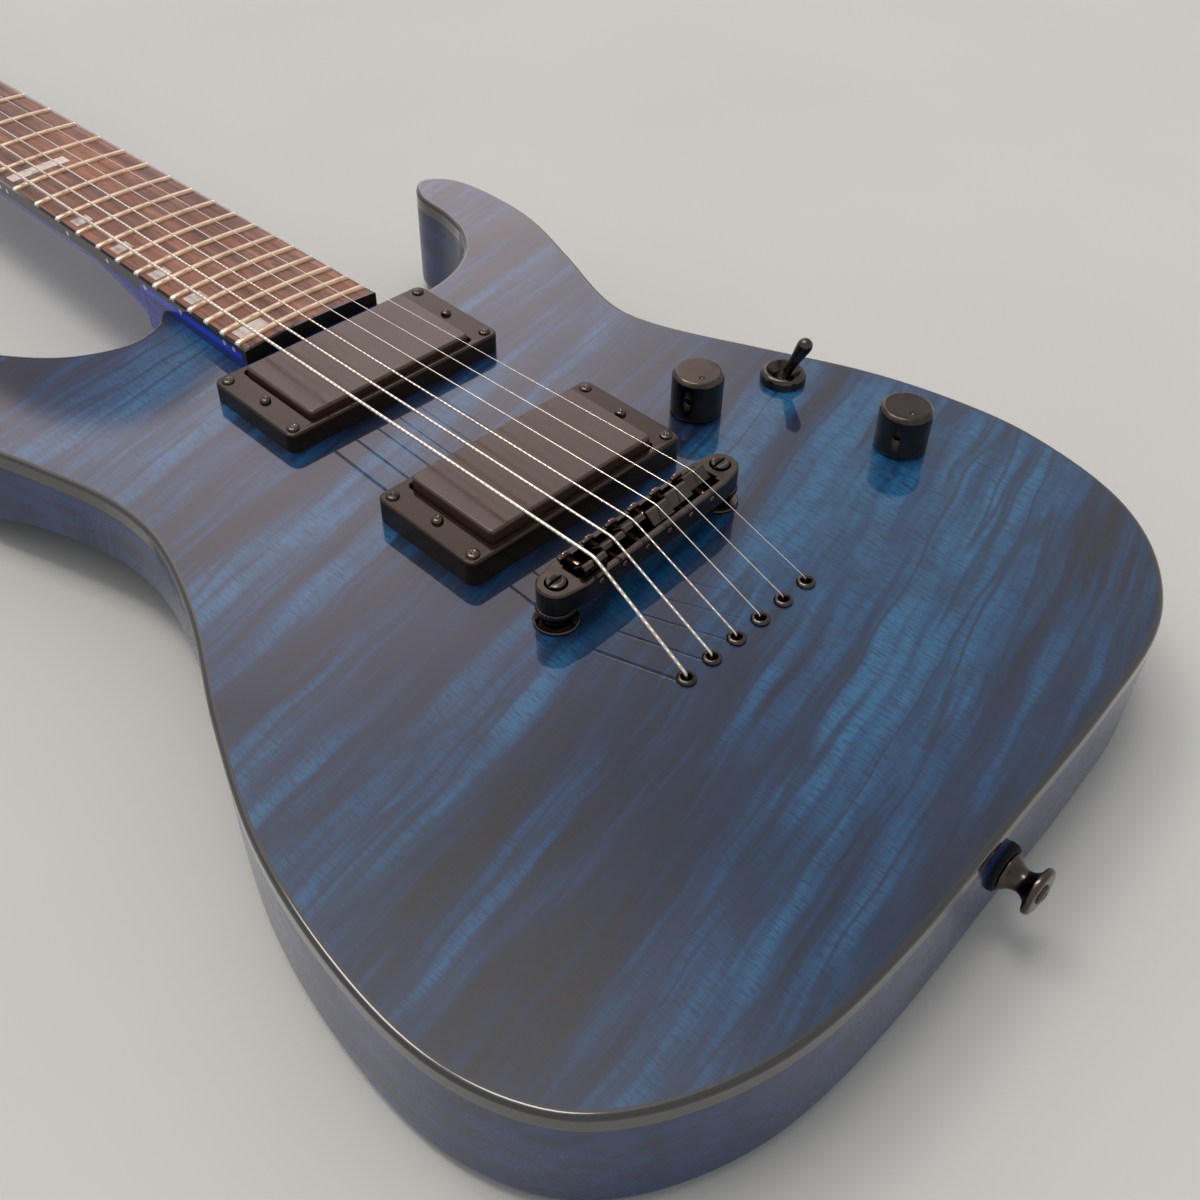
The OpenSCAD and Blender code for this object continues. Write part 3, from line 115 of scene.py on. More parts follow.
class NodeKit:
    """Adds nodes to a tree and joins them."""

    def __init__(self, tree: NodeTree) -> None:
        """Keeps the tree."""
        self.tree = tree

    def feed(self, node: Node, inputs: dict) -> None:
        """Sets or links inputs of a node.

        Args:
            node: The node.
            inputs: Values or sockets by the name or number of the input that they go to.
        """
        for key, value in inputs.items():
            socket = node.inputs[key]
            if isinstance(value, NodeSocket):
                self.tree.links.new(value, socket)
            else:
                socket.default_value = (*value, 1.0) if socket.type == "RGBA" else value

    def add(self, kind: str, inputs: dict | None = None, **settings: object) -> Node:
        """Adds a node.

        Args:
            kind: Blender's name of the node type.
            inputs: Values or sockets by the name or number of the input that they go to.
            settings: Properties of the node.

        Returns:
            The node.
        """
        node = self.tree.nodes.new(kind)
        for key, value in settings.items():
            setattr(node, key, value)
        self.feed(node, inputs or {})
        return node

    def out(self, kind: str, inputs: dict | None = None, **settings: object) -> NodeSocket:
        """Adds a node and returns its first output."""
        return self.add(kind, inputs, **settings).outputs[0]

    def maths(self, operation: str, *values: object) -> NodeSocket:
        """Returns the result of a sum on numbers or sockets."""
        return self.out("ShaderNodeMath", dict(enumerate(values)), operation=operation)

    def blend(self, a: NodeSocket, share_a: float, b: NodeSocket, share_b: float) -> NodeSocket:
        """Returns the sum of shares of two values."""
        return self.maths("ADD", self.maths("MULTIPLY", a, share_a), self.maths("MULTIPLY", b, share_b))

    def axes(self, **parts: object) -> NodeSocket:
        """Returns a vector of the given parts x, y and z, with 0 for the others."""
        return self.out("ShaderNodeCombineXYZ", {key.upper(): part for key, part in parts.items()})

    def ramp(self, value: NodeSocket, stops: Sequence[tuple[float, Colour]]) -> NodeSocket:
        """Makes a colour follow a value.

        Args:
            value: The value.
            stops: Pairs of value and colour.

        Returns:
            The colour.
        """
        node = self.add("ShaderNodeValToRGB", {"Fac": value})
        marks = node.color_ramp.elements
        while len(marks) < len(stops):
            marks.new(1.0)
        for mark, (at, colour) in zip(marks, stops):
            mark.position = at
            mark.color = (*colour, 1.0)
        return node.outputs["Color"]

    def mix(self, share: object, a: object, b: object) -> NodeSocket:
        """Returns two colours mixed by a share."""
        return self.add("ShaderNodeMix", {0: share, 6: a, 7: b}, data_type="RGBA").outputs[2]

    def stretch(self, where: NodeSocket, scale: Sequence[float], tilt: float = 0.0) -> NodeSocket:
        """Returns coordinates turned about Z by degrees, then scaled on each axis."""
        turned = self.out("ShaderNodeMapping", {"Vector": where, "Rotation": (0, 0, math.radians(tilt))})
        return self.out("ShaderNodeMapping", {"Vector": turned, "Scale": tuple(scale)})

    def noise(self, where: NodeSocket, scale: object, detail: float = 3.0) -> NodeSocket:
        """Returns a noise value from 0 to 1."""
        return self.out("ShaderNodeTexNoise", {"Vector": where, "Scale": scale, "Detail": detail})

    def spread(self, value: NodeSocket, low: object, high: object, a: object, b: object) -> NodeSocket:
        """Returns a value carried smoothly from one range to another."""
        ends = {0: value, 1: low, 2: high, 3: a, 4: b}
        return self.out("ShaderNodeMapRange", ends, interpolation_type="SMOOTHSTEP")

    def bump(self, height: NodeSocket, depth: float) -> NodeSocket:
        """Returns a normal that follows a height whose depth is in millimetres."""
        return self.out("ShaderNodeBump", {"Height": height, "Distance": depth * MM, "Strength": 1.0})

    def marks(self, where: NodeSocket, scale: float, smooth: float, rough: float) -> Sequence[NodeSocket]:
        """Returns the roughness, height and smear of the handling marks."""
        values = {"Vector": where, "Scale": scale, "Smooth": smooth, "Rough": rough}
        return self.add("ShaderNodeGroup", values, node_tree=HANDLING_MARKS).outputs

    def grain(self, where: NodeSocket, across: float, along: float) -> Sequence[NodeSocket]:
        """Returns the figure and the pores of the wood grain."""
        values = {"Vector": where, "Across": across, "Along": along}
        return self.add("ShaderNodeGroup", values, node_tree=WOOD_GRAIN).outputs

    def attribute(self, name: str) -> NodeSocket:
        """Returns a vector that is kept on each point."""
        node = self.add("GeometryNodeInputNamedAttribute", {"Name": name}, data_type="FLOAT_VECTOR")
        return next(s for s in node.outputs if s.enabled and s.name == "Attribute")


def shader_group(name: str, inputs: Sequence[str], outputs: Sequence[str]) -> NodeKit:
    """Starts a shader node group of number sockets, apart from an input named Vector.

    Args:
        name: Name of the group.
        inputs: Names of the inputs.
        outputs: Names of the outputs.

    Returns:
        A kit that adds nodes to the group.
    """
    tree = bpy.data.node_groups.new(name, "ShaderNodeTree")
    for key in inputs:
        kind = "NodeSocketVector" if key == "Vector" else "NodeSocketFloat"
        tree.interface.new_socket(key, in_out="INPUT", socket_type=kind)
    for key in outputs:
        tree.interface.new_socket(key, in_out="OUTPUT", socket_type="NodeSocketFloat")
    return NodeKit(tree)


def make_handling_marks(grit_scale: float = 22.0) -> NodeTree:
    """Makes the group for the faint smears and fine grit that a handled surface shows.

    Args:
        grit_scale: How much finer the grit is than the smears.

    Returns:
        The group.
    """
    names = ["Vector", "Scale", "Smooth", "Rough"]
    kit = shader_group("handling_marks", names, ["Roughness", "Height", "Smear"])
    where, scale, smooth, rough, _ = kit.add("NodeGroupInput").outputs
    smear = kit.noise(where, scale, 4.0)
    grit = kit.noise(where, kit.maths("MULTIPLY", scale, grit_scale), 2.0)
    dullness = kit.spread(kit.blend(smear, 0.7, grit, 0.3), 0.35, 0.65, smooth, rough)
    kit.add("NodeGroupOutput", {"Roughness": dullness, "Height": grit, "Smear": smear})
    return kit.tree


def make_wood_grain(pore_scale: float = 5.5) -> NodeTree:
    """Makes the group for grain lines along Y, with open pores between them.

    Args:
        pore_scale: How much finer the pores are than the lines.

    Returns:
        The group.
    """
    kit = shader_group("wood_grain", ["Vector", "Across", "Along"], ["Figure", "Pores"])
    where, across, along, _ = kit.add("NodeGroupInput").outputs
    scale = kit.axes(x=across, y=along, z=across)
    sized = kit.out("ShaderNodeVectorMath", {0: where, 1: scale}, operation="MULTIPLY")
    pores = kit.spread(kit.noise(sized, pore_scale, 2.0), 0.55, 0.68, 0.0, 1.0)
    kit.add("NodeGroupOutput", {"Figure": kit.noise(sized, 1.0, 5.0), "Pores": pores})
    return kit.tree


HANDLING_MARKS = make_handling_marks()
WOOD_GRAIN = make_wood_grain()


# Finishes


@dataclass(frozen=True)
class Finish:
    """A surface finish, whose material is made at its first use."""

    name: str
    slot: Slot | None
    made: ClassVar[dict["Finish", Material]] = {}

    @staticmethod
    def of(obj: Object) -> "Finish":
        """Returns the finish of a piece's first material."""
        return next(finish for finish, made in Finish.made.items() if made == obj.data.materials[0])

    def material(self) -> Material:
        """Makes the material if there is none yet.

        Returns:
            The finish's material.
        """
        if self not in Finish.made:
            material = bpy.data.materials.new(self.name)
            material.use_nodes = True
            Finish.made[self] = material
            kit = NodeKit(material.node_tree)
            where = kit.add("ShaderNodeTexCoord").outputs["Object"]
            kit.feed(material.node_tree.nodes["Principled BSDF"], self.paint(kit, where))
        return Finish.made[self]

    def paint(self, kit: NodeKit, where: NodeSocket) -> dict:
        """Returns what goes to the shader's inputs, from nodes that read the object's coordinates."""
        raise NotImplementedError


@dataclass(frozen=True)
class FlamedTop(Finish):
    """See-through blue stain over flamed wood under a thick clear coat."""

    slant: float = -13.0
    depth_scale: float = 8.0
    band: Flat = (5.0, 58.0)
    streak: Flat = (13.0, 210.0)
    stroke: Flat = (6.0, 95.0)
    fleck: Spot = (2300.0, 210.0, 60.0)
    sway: tuple[Flat, ...] = ((2.5, 0.045), (30.0, 0.005))
    deep: Colour = (0.003, 0.011, 0.034)
    stain: tuple[tuple[float, Colour], ...] = (
        (0.38, (0.006, 0.005, 0.006)), (0.45, (0.003, 0.009, 0.028)),
        (0.52, (0.003, 0.036, 0.100)), (0.62, (0.010, 0.085, 0.185)),
    )

    def paint(self, kit: NodeKit, where: NodeSocket) -> dict:
        """Paints dark flame bands across the grain, finer streaks, and short pores along it.

        Args:
            kit: Adds the nodes.
            where: Coordinates on the piece.

        Returns:
            Values and sockets for the shader's inputs.
        """
        (scale_a, reach_a), (scale_b, reach_b) = self.sway
        slow, quick = kit.noise(where, scale_a, 1.0), kit.noise(where, scale_b, 1.0)
        offset = kit.axes(y=kit.blend(slow, reach_a, quick, reach_b))
        bent = kit.out("ShaderNodeVectorMath", {0: where, 1: offset}, operation="ADD")
        band, streak, line = (
            kit.noise(kit.stretch(bent, (*size, self.depth_scale), self.slant), 1.0, detail)
            for size, detail in ((self.band, 2.5), (self.streak, 3.0), (self.stroke, 2.0))
        )
        colour = kit.ramp(kit.blend(band, 0.62, streak, 0.38), self.stain)
        line = kit.maths("ABSOLUTE", kit.maths("SUBTRACT", line, 0.5))
        fleck = kit.noise(kit.stretch(where, self.fleck), 1.0, 1.0)
        shares = [
            kit.spread(line, 0.0, 0.055, 0.75, 0.0),
            kit.spread(kit.noise(where, 55.0, 4.0), 0.42, 0.70, 0.0, 0.45),
            kit.spread(fleck, 0.50, 0.66, 0.0, 0.60),
        ]
        for share in shares:
            colour = kit.mix(share, colour, self.deep)
        rough = kit.marks(where, 30.0, 0.30, 0.42)["Roughness"]
        return {
            "Base Color": colour, "Roughness": rough, "Normal": kit.bump(fleck, 0.02),
            "Specular IOR Level": 0.2, "Coat Weight": 1.0, "Coat Roughness": 0.035,
        }


@dataclass(frozen=True)
class StainedWood(Finish):
    """Dark blue stained wood under clear coat."""

    dark: Colour = (0.002, 0.012, 0.052)
    light: Colour = (0.004, 0.030, 0.130)
    coat: float = 0.6

    def paint(self, kit: NodeKit, where: NodeSocket) -> dict:
        """Paints grain along the body and pores in it.

        Args:
            kit: Adds the nodes.
            where: Coordinates on the piece.

        Returns:
            Values and sockets for the shader's inputs.
        """
        figure, pores = kit.grain(where, 160.0, 8.0)
        stain = kit.ramp(figure, [(0.36, self.dark), (0.64, self.light)])
        return {
            "Base Color": kit.mix(kit.maths("MULTIPLY", pores, 0.25), stain, self.dark),
            "Roughness": kit.marks(where, 26.0, 0.25, 0.38)["Roughness"],
            "Normal": kit.bump(pores, 0.004),
            "Specular IOR Level": 0.12, "Coat Weight": self.coat, "Coat Roughness": 0.03,
        }


@dataclass(frozen=True)
class Rosewood(Finish):
    """Oiled open-pored brown wood."""

    pore: Colour = (0.030, 0.011, 0.007)
    wood: tuple[tuple[float, Colour], ...] = (
        (0.32, (0.050, 0.015, 0.007)), (0.50, (0.150, 0.048, 0.021)), (0.66, (0.270, 0.098, 0.044)),
    )

    def paint(self, kit: NodeKit, where: NodeSocket) -> dict:
        """Paints red-brown grain with dark pores along the neck.

        Args:
            kit: Adds the nodes.
            where: Coordinates on the piece.

        Returns:
            Values and sockets for the shader's inputs.
        """
        figure, pores = kit.grain(where, 260.0, 11.0)
        return {
            "Base Color": kit.mix(kit.maths("MULTIPLY", pores, 0.75), kit.ramp(figure, self.wood), self.pore),
            "Roughness": kit.marks(where, 40.0, 0.38, 0.55)["Roughness"],
            "Normal": kit.bump(kit.maths("SUBTRACT", 1.0, pores), 0.06),
        }


@dataclass(frozen=True)
class Moulded(Finish):
    """Black plastic or lacquer, from satin to gloss."""

    colour: Colour = (0.012, 0.011, 0.011)
    smeared: Colour = (0.022, 0.020, 0.019)
    smooth: float = 0.22
    rough: float = 0.36
    coat: float = 0.0
    grit: float = 0.004
    specular: float = 0.5
    tint: Colour = (1.0, 1.0, 1.0)

    def paint(self, kit: NodeKit, where: NodeSocket) -> dict:
        """Paints a dark surface with faint smears and a fine grit.

        Args:
            kit: Adds the nodes.
            where: Coordinates on the piece.

        Returns:
            Values and sockets for the shader's inputs.
        """
        rough, height, smear = kit.marks(where, 45.0, self.smooth, self.rough)
        return {
            "Base Color": kit.mix(smear, self.colour, self.smeared),
            "Roughness": rough, "Normal": kit.bump(height, self.grit),
            "Specular IOR Level": self.specular, "Specular Tint": self.tint,
            "Coat Weight": self.coat, "Coat Roughness": 0.04,
        }


@dataclass(frozen=True)
class StainedBinding(Moulded):
    """Black binding whose sides take the heel's stain below a line that slopes with the neck."""

    stain: Colour = (0.004, 0.045, 0.62)
    line: float = 0.0
    slope: float = 0.0
    reach: Flat = (0.0, 0.0)
    blur: float = 0.0002

    def paint(self, kit: NodeKit, where: NodeSocket) -> dict:
        """Paints the stain over the lower part of the black.

        Args:
            kit: Adds the nodes.
            where: Coordinates on the piece.

        Returns:
            Values and sockets for the shader's inputs.
        """
        inputs = super().paint(kit, where)
        _, y, z = kit.add("ShaderNodeSeparateXYZ", {0: where}).outputs
        height = kit.maths("MULTIPLY_ADD", y, self.slope, z)
        below = kit.spread(height, self.line - self.blur, self.line + self.blur, 1.0, 0.0)
        start, end = self.reach
        within = kit.maths("COMPARE", y, (start + end) / 2, (end - start) / 2)
        share = kit.maths("MULTIPLY", below, within)
        return inputs | {"Base Color": kit.mix(share, inputs["Base Color"], self.stain)}


@dataclass(frozen=True)
class Metal(Finish):
    """Plated or bare metal with fine brushing and a little tarnish."""

    colour: Colour = (0.085, 0.070, 0.060)
    tarnish: Colour = (0.045, 0.036, 0.030)
    smooth: float = 0.14
    rough: float = 0.26
    wound: float = 0.0

    def paint(self, kit: NodeKit, where: NodeSocket) -> dict:
        """Paints metal whose tarnish and roughness vary, wound with wire where a pitch is set.

        Args:
            kit: Adds the nodes.
            where: Coordinates on the piece.

        Returns:
            Values and sockets for the shader's inputs.
        """
        rough, height, smear = kit.marks(where, 120.0, self.smooth, self.rough)
        depth = 0.006
        if self.wound > 0:
            turns = {"Vector": where, "Scale": 1 / (self.wound * MM * 20)}
            height = kit.add("ShaderNodeTexWave", turns, bands_direction="Y").outputs["Fac"]
            depth = self.wound / 4
        colour = kit.mix(kit.spread(smear, 0.42, 0.72, 0.0, 0.8), self.colour, self.tarnish)
        return {"Base Color": colour, "Metallic": 1.0, "Roughness": rough, "Normal": kit.bump(height, depth)}


@dataclass(frozen=True)
class Pearl(Finish):
    """Pale shell with clouded bands."""

    cloud: tuple[tuple[float, Colour], ...] = (
        (0.30, (0.34, 0.29, 0.24)), (0.50, (0.56, 0.49, 0.42)), (0.68, (0.42, 0.42, 0.41)),
    )

    def paint(self, kit: NodeKit, where: NodeSocket) -> dict:
        """Paints soft cloudy bands of warm and cool white.

        Args:
            kit: Adds the nodes.
            where: Coordinates on the piece.

        Returns:
            Values and sockets for the shader's inputs.
        """
        rough, height, smear = kit.marks(where, 220.0, 0.12, 0.25)
        values = {"Base Color": kit.ramp(smear, self.cloud), "Roughness": rough, "Coat Weight": 0.5}
        return {**values, "Normal": kit.bump(height, 0.01)}


@dataclass(frozen=True)
class Felt(Finish):
    """Black pressed felt."""

    dark: Colour = (0.003, 0.003, 0.003)
    light: Colour = (0.018, 0.016, 0.015)

    def paint(self, kit: NodeKit, where: NodeSocket) -> dict:
        """Paints tangled fibres.

        Args:
            kit: Adds the nodes.
            where: Coordinates on the piece.

        Returns:
            Values and sockets for the shader's inputs.
        """
        rough, _, smear = kit.marks(where, 700.0, 0.85, 1.0)
        return {
            "Base Color": kit.mix(smear, self.dark, self.light), "Roughness": rough,
            "Normal": kit.bump(smear, 0.4), "Specular IOR Level": 0.1, "Sheen Weight": 0.05,
        }


@dataclass(frozen=True)
class FloorPaint(Finish):
    """Pale matt paint with a faint mottling."""

    pale: Colour = (0.47, 0.475, 0.455)
    darker: float = 0.93

    def paint(self, kit: NodeKit, where: NodeSocket) -> dict:
        """Paints soft clouds of a slightly darker tone.

        Args:
            kit: Adds the nodes.
            where: Coordinates on the piece.

        Returns:
            Values and sockets for the shader's inputs.
        """
        shade_of = tuple(part * self.darker for part in self.pale)
        colour = kit.mix(kit.noise(where, 6.0), self.pale, shade_of)
        return {"Base Color": colour, "Roughness": 0.9, "Specular IOR Level": 0.1}


FLAMED_TOP = FlamedTop("flamed_blue_top", Slot.TOP)
SIDE_BLUE = StainedWood("stained_blue_wood", Slot.SIDE)
NECK_BLUE = StainedWood("stained_blue_neck", Slot.SIDE, (0.002, 0.012, 0.16), (0.004, 0.032, 0.50), 0.5)
BINDING = Moulded("black_binding", Slot.BINDING, smooth=0.05, rough=0.10, coat=0.6, grit=0.001)
SATIN = Moulded("satin_black_cover", Slot.PLASTIC, (0.040, 0.022, 0.014), (0.052, 0.030, 0.020), 0.20, 0.32)
GLOSS = Moulded(
    "gloss_black", Slot.GLOSS, (0.010, 0.006, 0.004), (0.016, 0.010, 0.007), 0.07, 0.14,
    grit=0.002, specular=0.35, tint=(1.0, 0.82, 0.68),
)
BLACK_METAL = Metal("black_plating", Slot.METAL)
COPPERY = Metal("worn_screw", Slot.METAL, (0.34, 0.20, 0.13), (0.10, 0.06, 0.04))
NICKEL = Metal("warm_nickel", Slot.FRET, (0.66, 0.50, 0.36), (0.46, 0.33, 0.23), 0.28, 0.42)
# Fret ends: the frets' own nickel wire, polished, and painted much brighter than the frets as a painted
# highlight.
FRET_END_HIGHLIGHT = Metal("polished_nickel", Slot.FRET, (0.88, 0.84, 0.78), (0.70, 0.64, 0.56), 0.10, 0.18)
PLAIN_STRING = Metal("plain_steel", Slot.STRING, (0.82, 0.78, 0.70), (0.62, 0.54, 0.45), 0.16, 0.26)
WOUND_STRING = Metal("wound_steel", Slot.STRING, (0.80, 0.74, 0.64), (0.58, 0.49, 0.40), 0.18, 0.30, 0.35)
INNER_STEEL = Metal("inner_plating", Slot.STEEL, (0.55, 0.54, 0.52), (0.30, 0.29, 0.28), 0.20, 0.40)
ROSEWOOD = Rosewood("oiled_rosewood", Slot.BOARD)
PEARL = Pearl("pearl_inlay", Slot.PEARL)
FELT = Felt("black_felt", Slot.FELT)
WIRE = Moulded("wire_sleeve", Slot.WIRE, smooth=0.35, rough=0.55)
FLOOR_PAINT = FloorPaint("floor_paint", None)


# Outlines


def arc(start: float, end: float, steps: int) -> list[float]:
    """Returns angles in even steps between two that are given in degrees."""
    return [math.radians(start + (end - start) * step / steps) for step in range(steps + 1)]


def polar(radius: float, angle: float) -> Vector:
    """Returns the point at a radius and an angle."""
    return Vector((radius * math.cos(angle), radius * math.sin(angle)))


def mirrored(points: Sequence[Vector]) -> list[Vector]:
    """Returns points on the other side of the middle line."""
    return [Vector((-p.x, p.y)) for p in points]


def smooth_outline(knots: Sequence[Flat], steps: int) -> list[Vector]:
    """Draws a cubic curve through knots, with slopes set by the neighbours of each knot.

    Args:
        knots: Points of the outline in order.
        steps: Number of pieces between two knots.

    Returns:
        Points along the curve, the last knot included.
    """
    points = [Vector(k) for k in knots]
    last = len(points) - 1
    gaps = [(points[i + 1] - points[i]).length for i in range(last)]

    def slope(i: int) -> Vector:
        """Returns the curve's direction at a knot."""
        low, high = max(i - 1, 0), min(i + 1, last)
        return (points[high] - points[low]) / sum(gaps[low:high])

    drawn = []
    for i in range(last):
        for u in (step / steps for step in range(steps)):
            drawn.append(
                points[i] * (2 * u**3 - 3 * u**2 + 1)
                + slope(i) * gaps[i] * (u**3 - 2 * u**2 + u)
                + points[i + 1] * (3 * u**2 - 2 * u**3)
                + slope(i + 1) * gaps[i] * (u**3 - u**2)
            )
    return drawn + [points[last]]


def inset(path: Sequence[Vector], depth: float, closed: bool = True) -> list[Vector]:
    """Moves a clockwise outline inwards and closes the small loops that this makes in tight bends.

    Args:
        path: Points of the outline.
        depth: Distance, negative to move outwards.
        closed: Whether the last point joins the first.

    Returns:
        The moved points.
    """
    count = len(path)
    moved = []
    for i, point in enumerate(path):
        before = path[i - 1] if closed or i > 0 else point
        after = path[(i + 1) % count] if closed or i < count - 1 else point
        along = (after - before).normalized()
        moved.append(point + Vector((along.y, -along.x)) * depth)
    for i, k in [(i, i + j) for i in range(count - LOOP_REACH - 1) for j in range(LOOP_REACH, 1, -1)]:
        hit = intersect_line_line_2d(moved[i], moved[i + 1], moved[k], moved[k + 1])
        if hit:
            moved[i + 1:k + 1] = [hit] * (k - i)
    return moved


def rounded_rect(length: float, width: float, radius: float, steps: int = 8, y: float = 0.0) -> list[Vector]:
    """Draws a clockwise rectangle with rounded corners.

    Args:
        length: Size on X.
        width: Size on Y.
        radius: Radius of the corners.
        steps: Number of pieces in each corner.
        y: Where its middle is on Y.

    Returns:
        Points of the outline.
    """
    points = []
    for corner, (sx, sy) in enumerate([(1, 1), (1, -1), (-1, -1), (-1, 1)]):
        middle = Vector((sx * (length / 2 - radius), y + sy * (width / 2 - radius)))
        points += [middle + polar(radius, a) for a in arc(90 - 90 * corner, -90 * corner, steps)]
    return points


def rounded_levels(
    low: float, high: float, round_low: float, round_high: float, steps: int = 5
) -> list[Flat]:
    """Gives the levels of a plate with rounded edges.

    Args:
        low: Height of the lower face.
        high: Height of the upper face.
        round_low: Radius of the lower edge.
        round_high: Radius of the upper edge.
        steps: Number of pieces in each rounding.

    Returns:
        Pairs of inset and height, from the lower face to the upper one.
    """
    angles = arc(0, 90, steps)
    lower = [(round_low * (1 - math.sin(a)), low + round_low * (1 - math.cos(a))) for a in angles]
    upper = [(round_high * (1 - math.cos(a)), high - round_high * (1 - math.sin(a))) for a in angles]
    return (lower if round_low else lower[-1:]) + (upper if round_high else upper[:1])


def stack(outline: Sequence[Vector], levels: Sequence[Flat], closed: bool = True) -> list[list[Vector]]:
    """Returns an outline at levels, which are pairs of inset and height."""
    return [[Vector((p.x, p.y, z)) for p in inset(outline, d, closed)] for d, z in levels]


def teeth(count: int, depth: float, low: float, high: float) -> Ripple:
    """Makes the ripple of a knurled rim.

    Args:
        count: Number of teeth.
        depth: Depth of the grooves.
        low: Height where the teeth begin.
        high: Height where they end.

    Returns:
        The change of the radius for an angle and a height.
    """

    def ripple(angle: float, z: float) -> float:
        """Returns the depth of the groove at a place on the rim."""
        return depth * (abs((angle * count / math.tau) % 1 - 0.5) * 2 - 1) if low < z < high else 0.0

    return ripple


# Meshes


def add_object(name: str, data: bpy.types.ID) -> Object:
    """Adds an object to the scene.

    Args:
        name: Its name.
        data: What it shows.

    Returns:
        The object.
    """
    obj = bpy.data.objects.new(name, data)
    bpy.context.scene.collection.objects.link(obj)
    return obj


@dataclass
class Shape:
    """Points and faces of a piece, gathered in millimetres."""

    points: list[Vector] = field(default_factory=list)
    faces: list[tuple[int, ...]] = field(default_factory=list)

    def loft(
        self, rings: Sequence[Sequence[Vector]], place: Matrix = Matrix(), closed: bool = False
    ) -> "Shape":
        """Adds a skin over rings of the same number of points.

        Args:
            rings: Rings of points in space, in order.
            place: Where the skin goes.
            closed: Whether the last ring joins the first, so that there are no end faces.

        Returns:
            The shape itself.
        """
        size, count, start = len(rings[0]), len(rings), len(self.points)
        rows = [[start + i * size + k for k in range(size)] for i in range(count)]
        for i in range(count if closed else count - 1):
            here, there = rows[i], rows[(i + 1) % count]
            self.faces += [(here[k - 1], here[k], there[k], there[k - 1]) for k in range(size)]
        if not closed:
            self.faces += [tuple(rows[0]), tuple(rows[-1])]
        self.points += [place @ Vector(p) for r in rings for p in r]
        return self

    def prism(
        self, outline: Sequence[Vector], levels: Sequence[Flat], place: Matrix = Matrix(), closed: bool = True
    ) -> "Shape":
        """Adds an upright solid on a clockwise outline, whose levels are pairs of inset and height."""
        return self.loft(stack(outline, levels, closed), place)

    def lathe(
        self,
        profile: Sequence[Flat],
        place: Matrix = Matrix(),
        count: int = 48,
        closed: bool = False,
        ripple: Ripple = lambda angle, z: 0.0,
    ) -> "Shape":
        """Adds a turned solid.

        Args:
            profile: Pairs of radius and height.
            place: Where the solid's own Z axis goes.
            count: Points round the axis.
            closed: Whether the profile is a closed loop, as in a ring.
            ripple: Change of the radius for an angle and a height.

        Returns:
            The shape itself.
        """
        angles = [math.tau * k / count for k in range(count)]
        rings = [[Vector((*polar(r + ripple(a, z), a), z)) for a in angles] for r, z in profile]
        return self.loft(rings, place, closed)

    def box(self, low: Sequence[float], high: Sequence[float], place: Matrix = Matrix()) -> "Shape":
        """Adds a block.

        Args:
            low: Its lowest corner.
            high: Its highest corner.
            place: Where it goes.

        Returns:
            The shape itself.
        """
        (x0, y0, z0), (x1, y1, z1) = low, high
        plan = [Vector(p) for p in [(x0, y0), (x0, y1), (x1, y1), (x1, y0)]]
        return self.prism(plan, [(0, z0), (0, z1)], place)

    def build(
        self, name: str, finish: Finish = BLACK_METAL, sharp: float = SHARP, weighted: bool = True
    ) -> Object:
        """Makes the object.

        Args:
            name: Name of the piece.
            finish: Finish of its surface.
            sharp: Angle in degrees past which an edge stays sharp.
            weighted: Whether large flat faces keep their own shading beside rounded edges.

        Returns:
            The object, at the origin, with its place in its mesh.
        """
        work = bmesh.new()
        corners = [work.verts.new(p * MM) for p in self.points]
        for face in self.faces:
            work.faces.new([corners[i] for i in face])
        bmesh.ops.remove_doubles(work, verts=work.verts, dist=MM / 500)
        bmesh.ops.recalc_face_normals(work, faces=work.faces)
        mesh = bpy.data.meshes.new(name)
        work.to_mesh(mesh)
        work.free()
        mesh.materials.append(finish.material())
        obj = add_object(name, mesh)
        shade(obj, sharp, weighted)
        return obj


def shade(obj: Object, sharp: float = SHARP, weighted: bool = True) -> None:
    """Shades a mesh smooth.

    Args:
        obj: The piece.
        sharp: Angle in degrees past which an edge stays sharp.
        weighted: Whether large flat faces keep their own shading beside rounded edges.
    """
    obj.data.polygons.foreach_set("use_smooth", [True] * len(obj.data.polygons))
    obj.data.set_sharp_from_angle(angle=math.radians(sharp))
    if weighted:
        obj.modifiers.new("even_shading", "WEIGHTED_NORMAL").keep_sharp = True
        freeze(obj)


def freeze(obj: Object) -> None:
    """Turns an object's modifiers into a plain mesh.

    Args:
        obj: The piece.
    """
    graph = bpy.context.evaluated_depsgraph_get()
    mesh = bpy.data.meshes.new_from_object(obj.evaluated_get(graph))
    obj.modifiers.clear()
    old = obj.data
    obj.data = mesh
    bpy.data.meshes.remove(old)


def discard(obj: Object) -> None:
    """Removes a working object with its mesh."""
    bpy.data.meshes.remove(obj.data)


def carve(obj: Object, tool: Shape, cut: Cut = Cut.AWAY, sharp: float = SHARP) -> None:
    """Cuts a shape, whose parts do not overlap, out of a piece, or joins it on.

    Args:
        obj: The piece.
        tool: The other shape.
        cut: What the shape does to the piece.
        sharp: Angle in degrees past which an edge stays sharp afterwards.
    """
    other = tool.build("tool", Finish.of(obj), sharp, weighted=False)
    modifier = obj.modifiers.new("carve", "BOOLEAN")
    modifier.operation = cut.value
    modifier.solver = "EXACT"
    modifier.object = other
    freeze(obj)
    discard(other)
    shade(obj, sharp)


def soften(obj: Object, width: float) -> None:
    """Rounds a piece's sharp edges.

    Args:
        obj: The piece.
        width: Width of the rounding in millimetres.
    """
    modifier = obj.modifiers.new("soften", "BEVEL")
    modifier.width = width * MM
    modifier.segments = 2
    modifier.limit_method = "ANGLE"
    modifier.angle_limit = math.radians(30)
    freeze(obj)
    shade(obj)


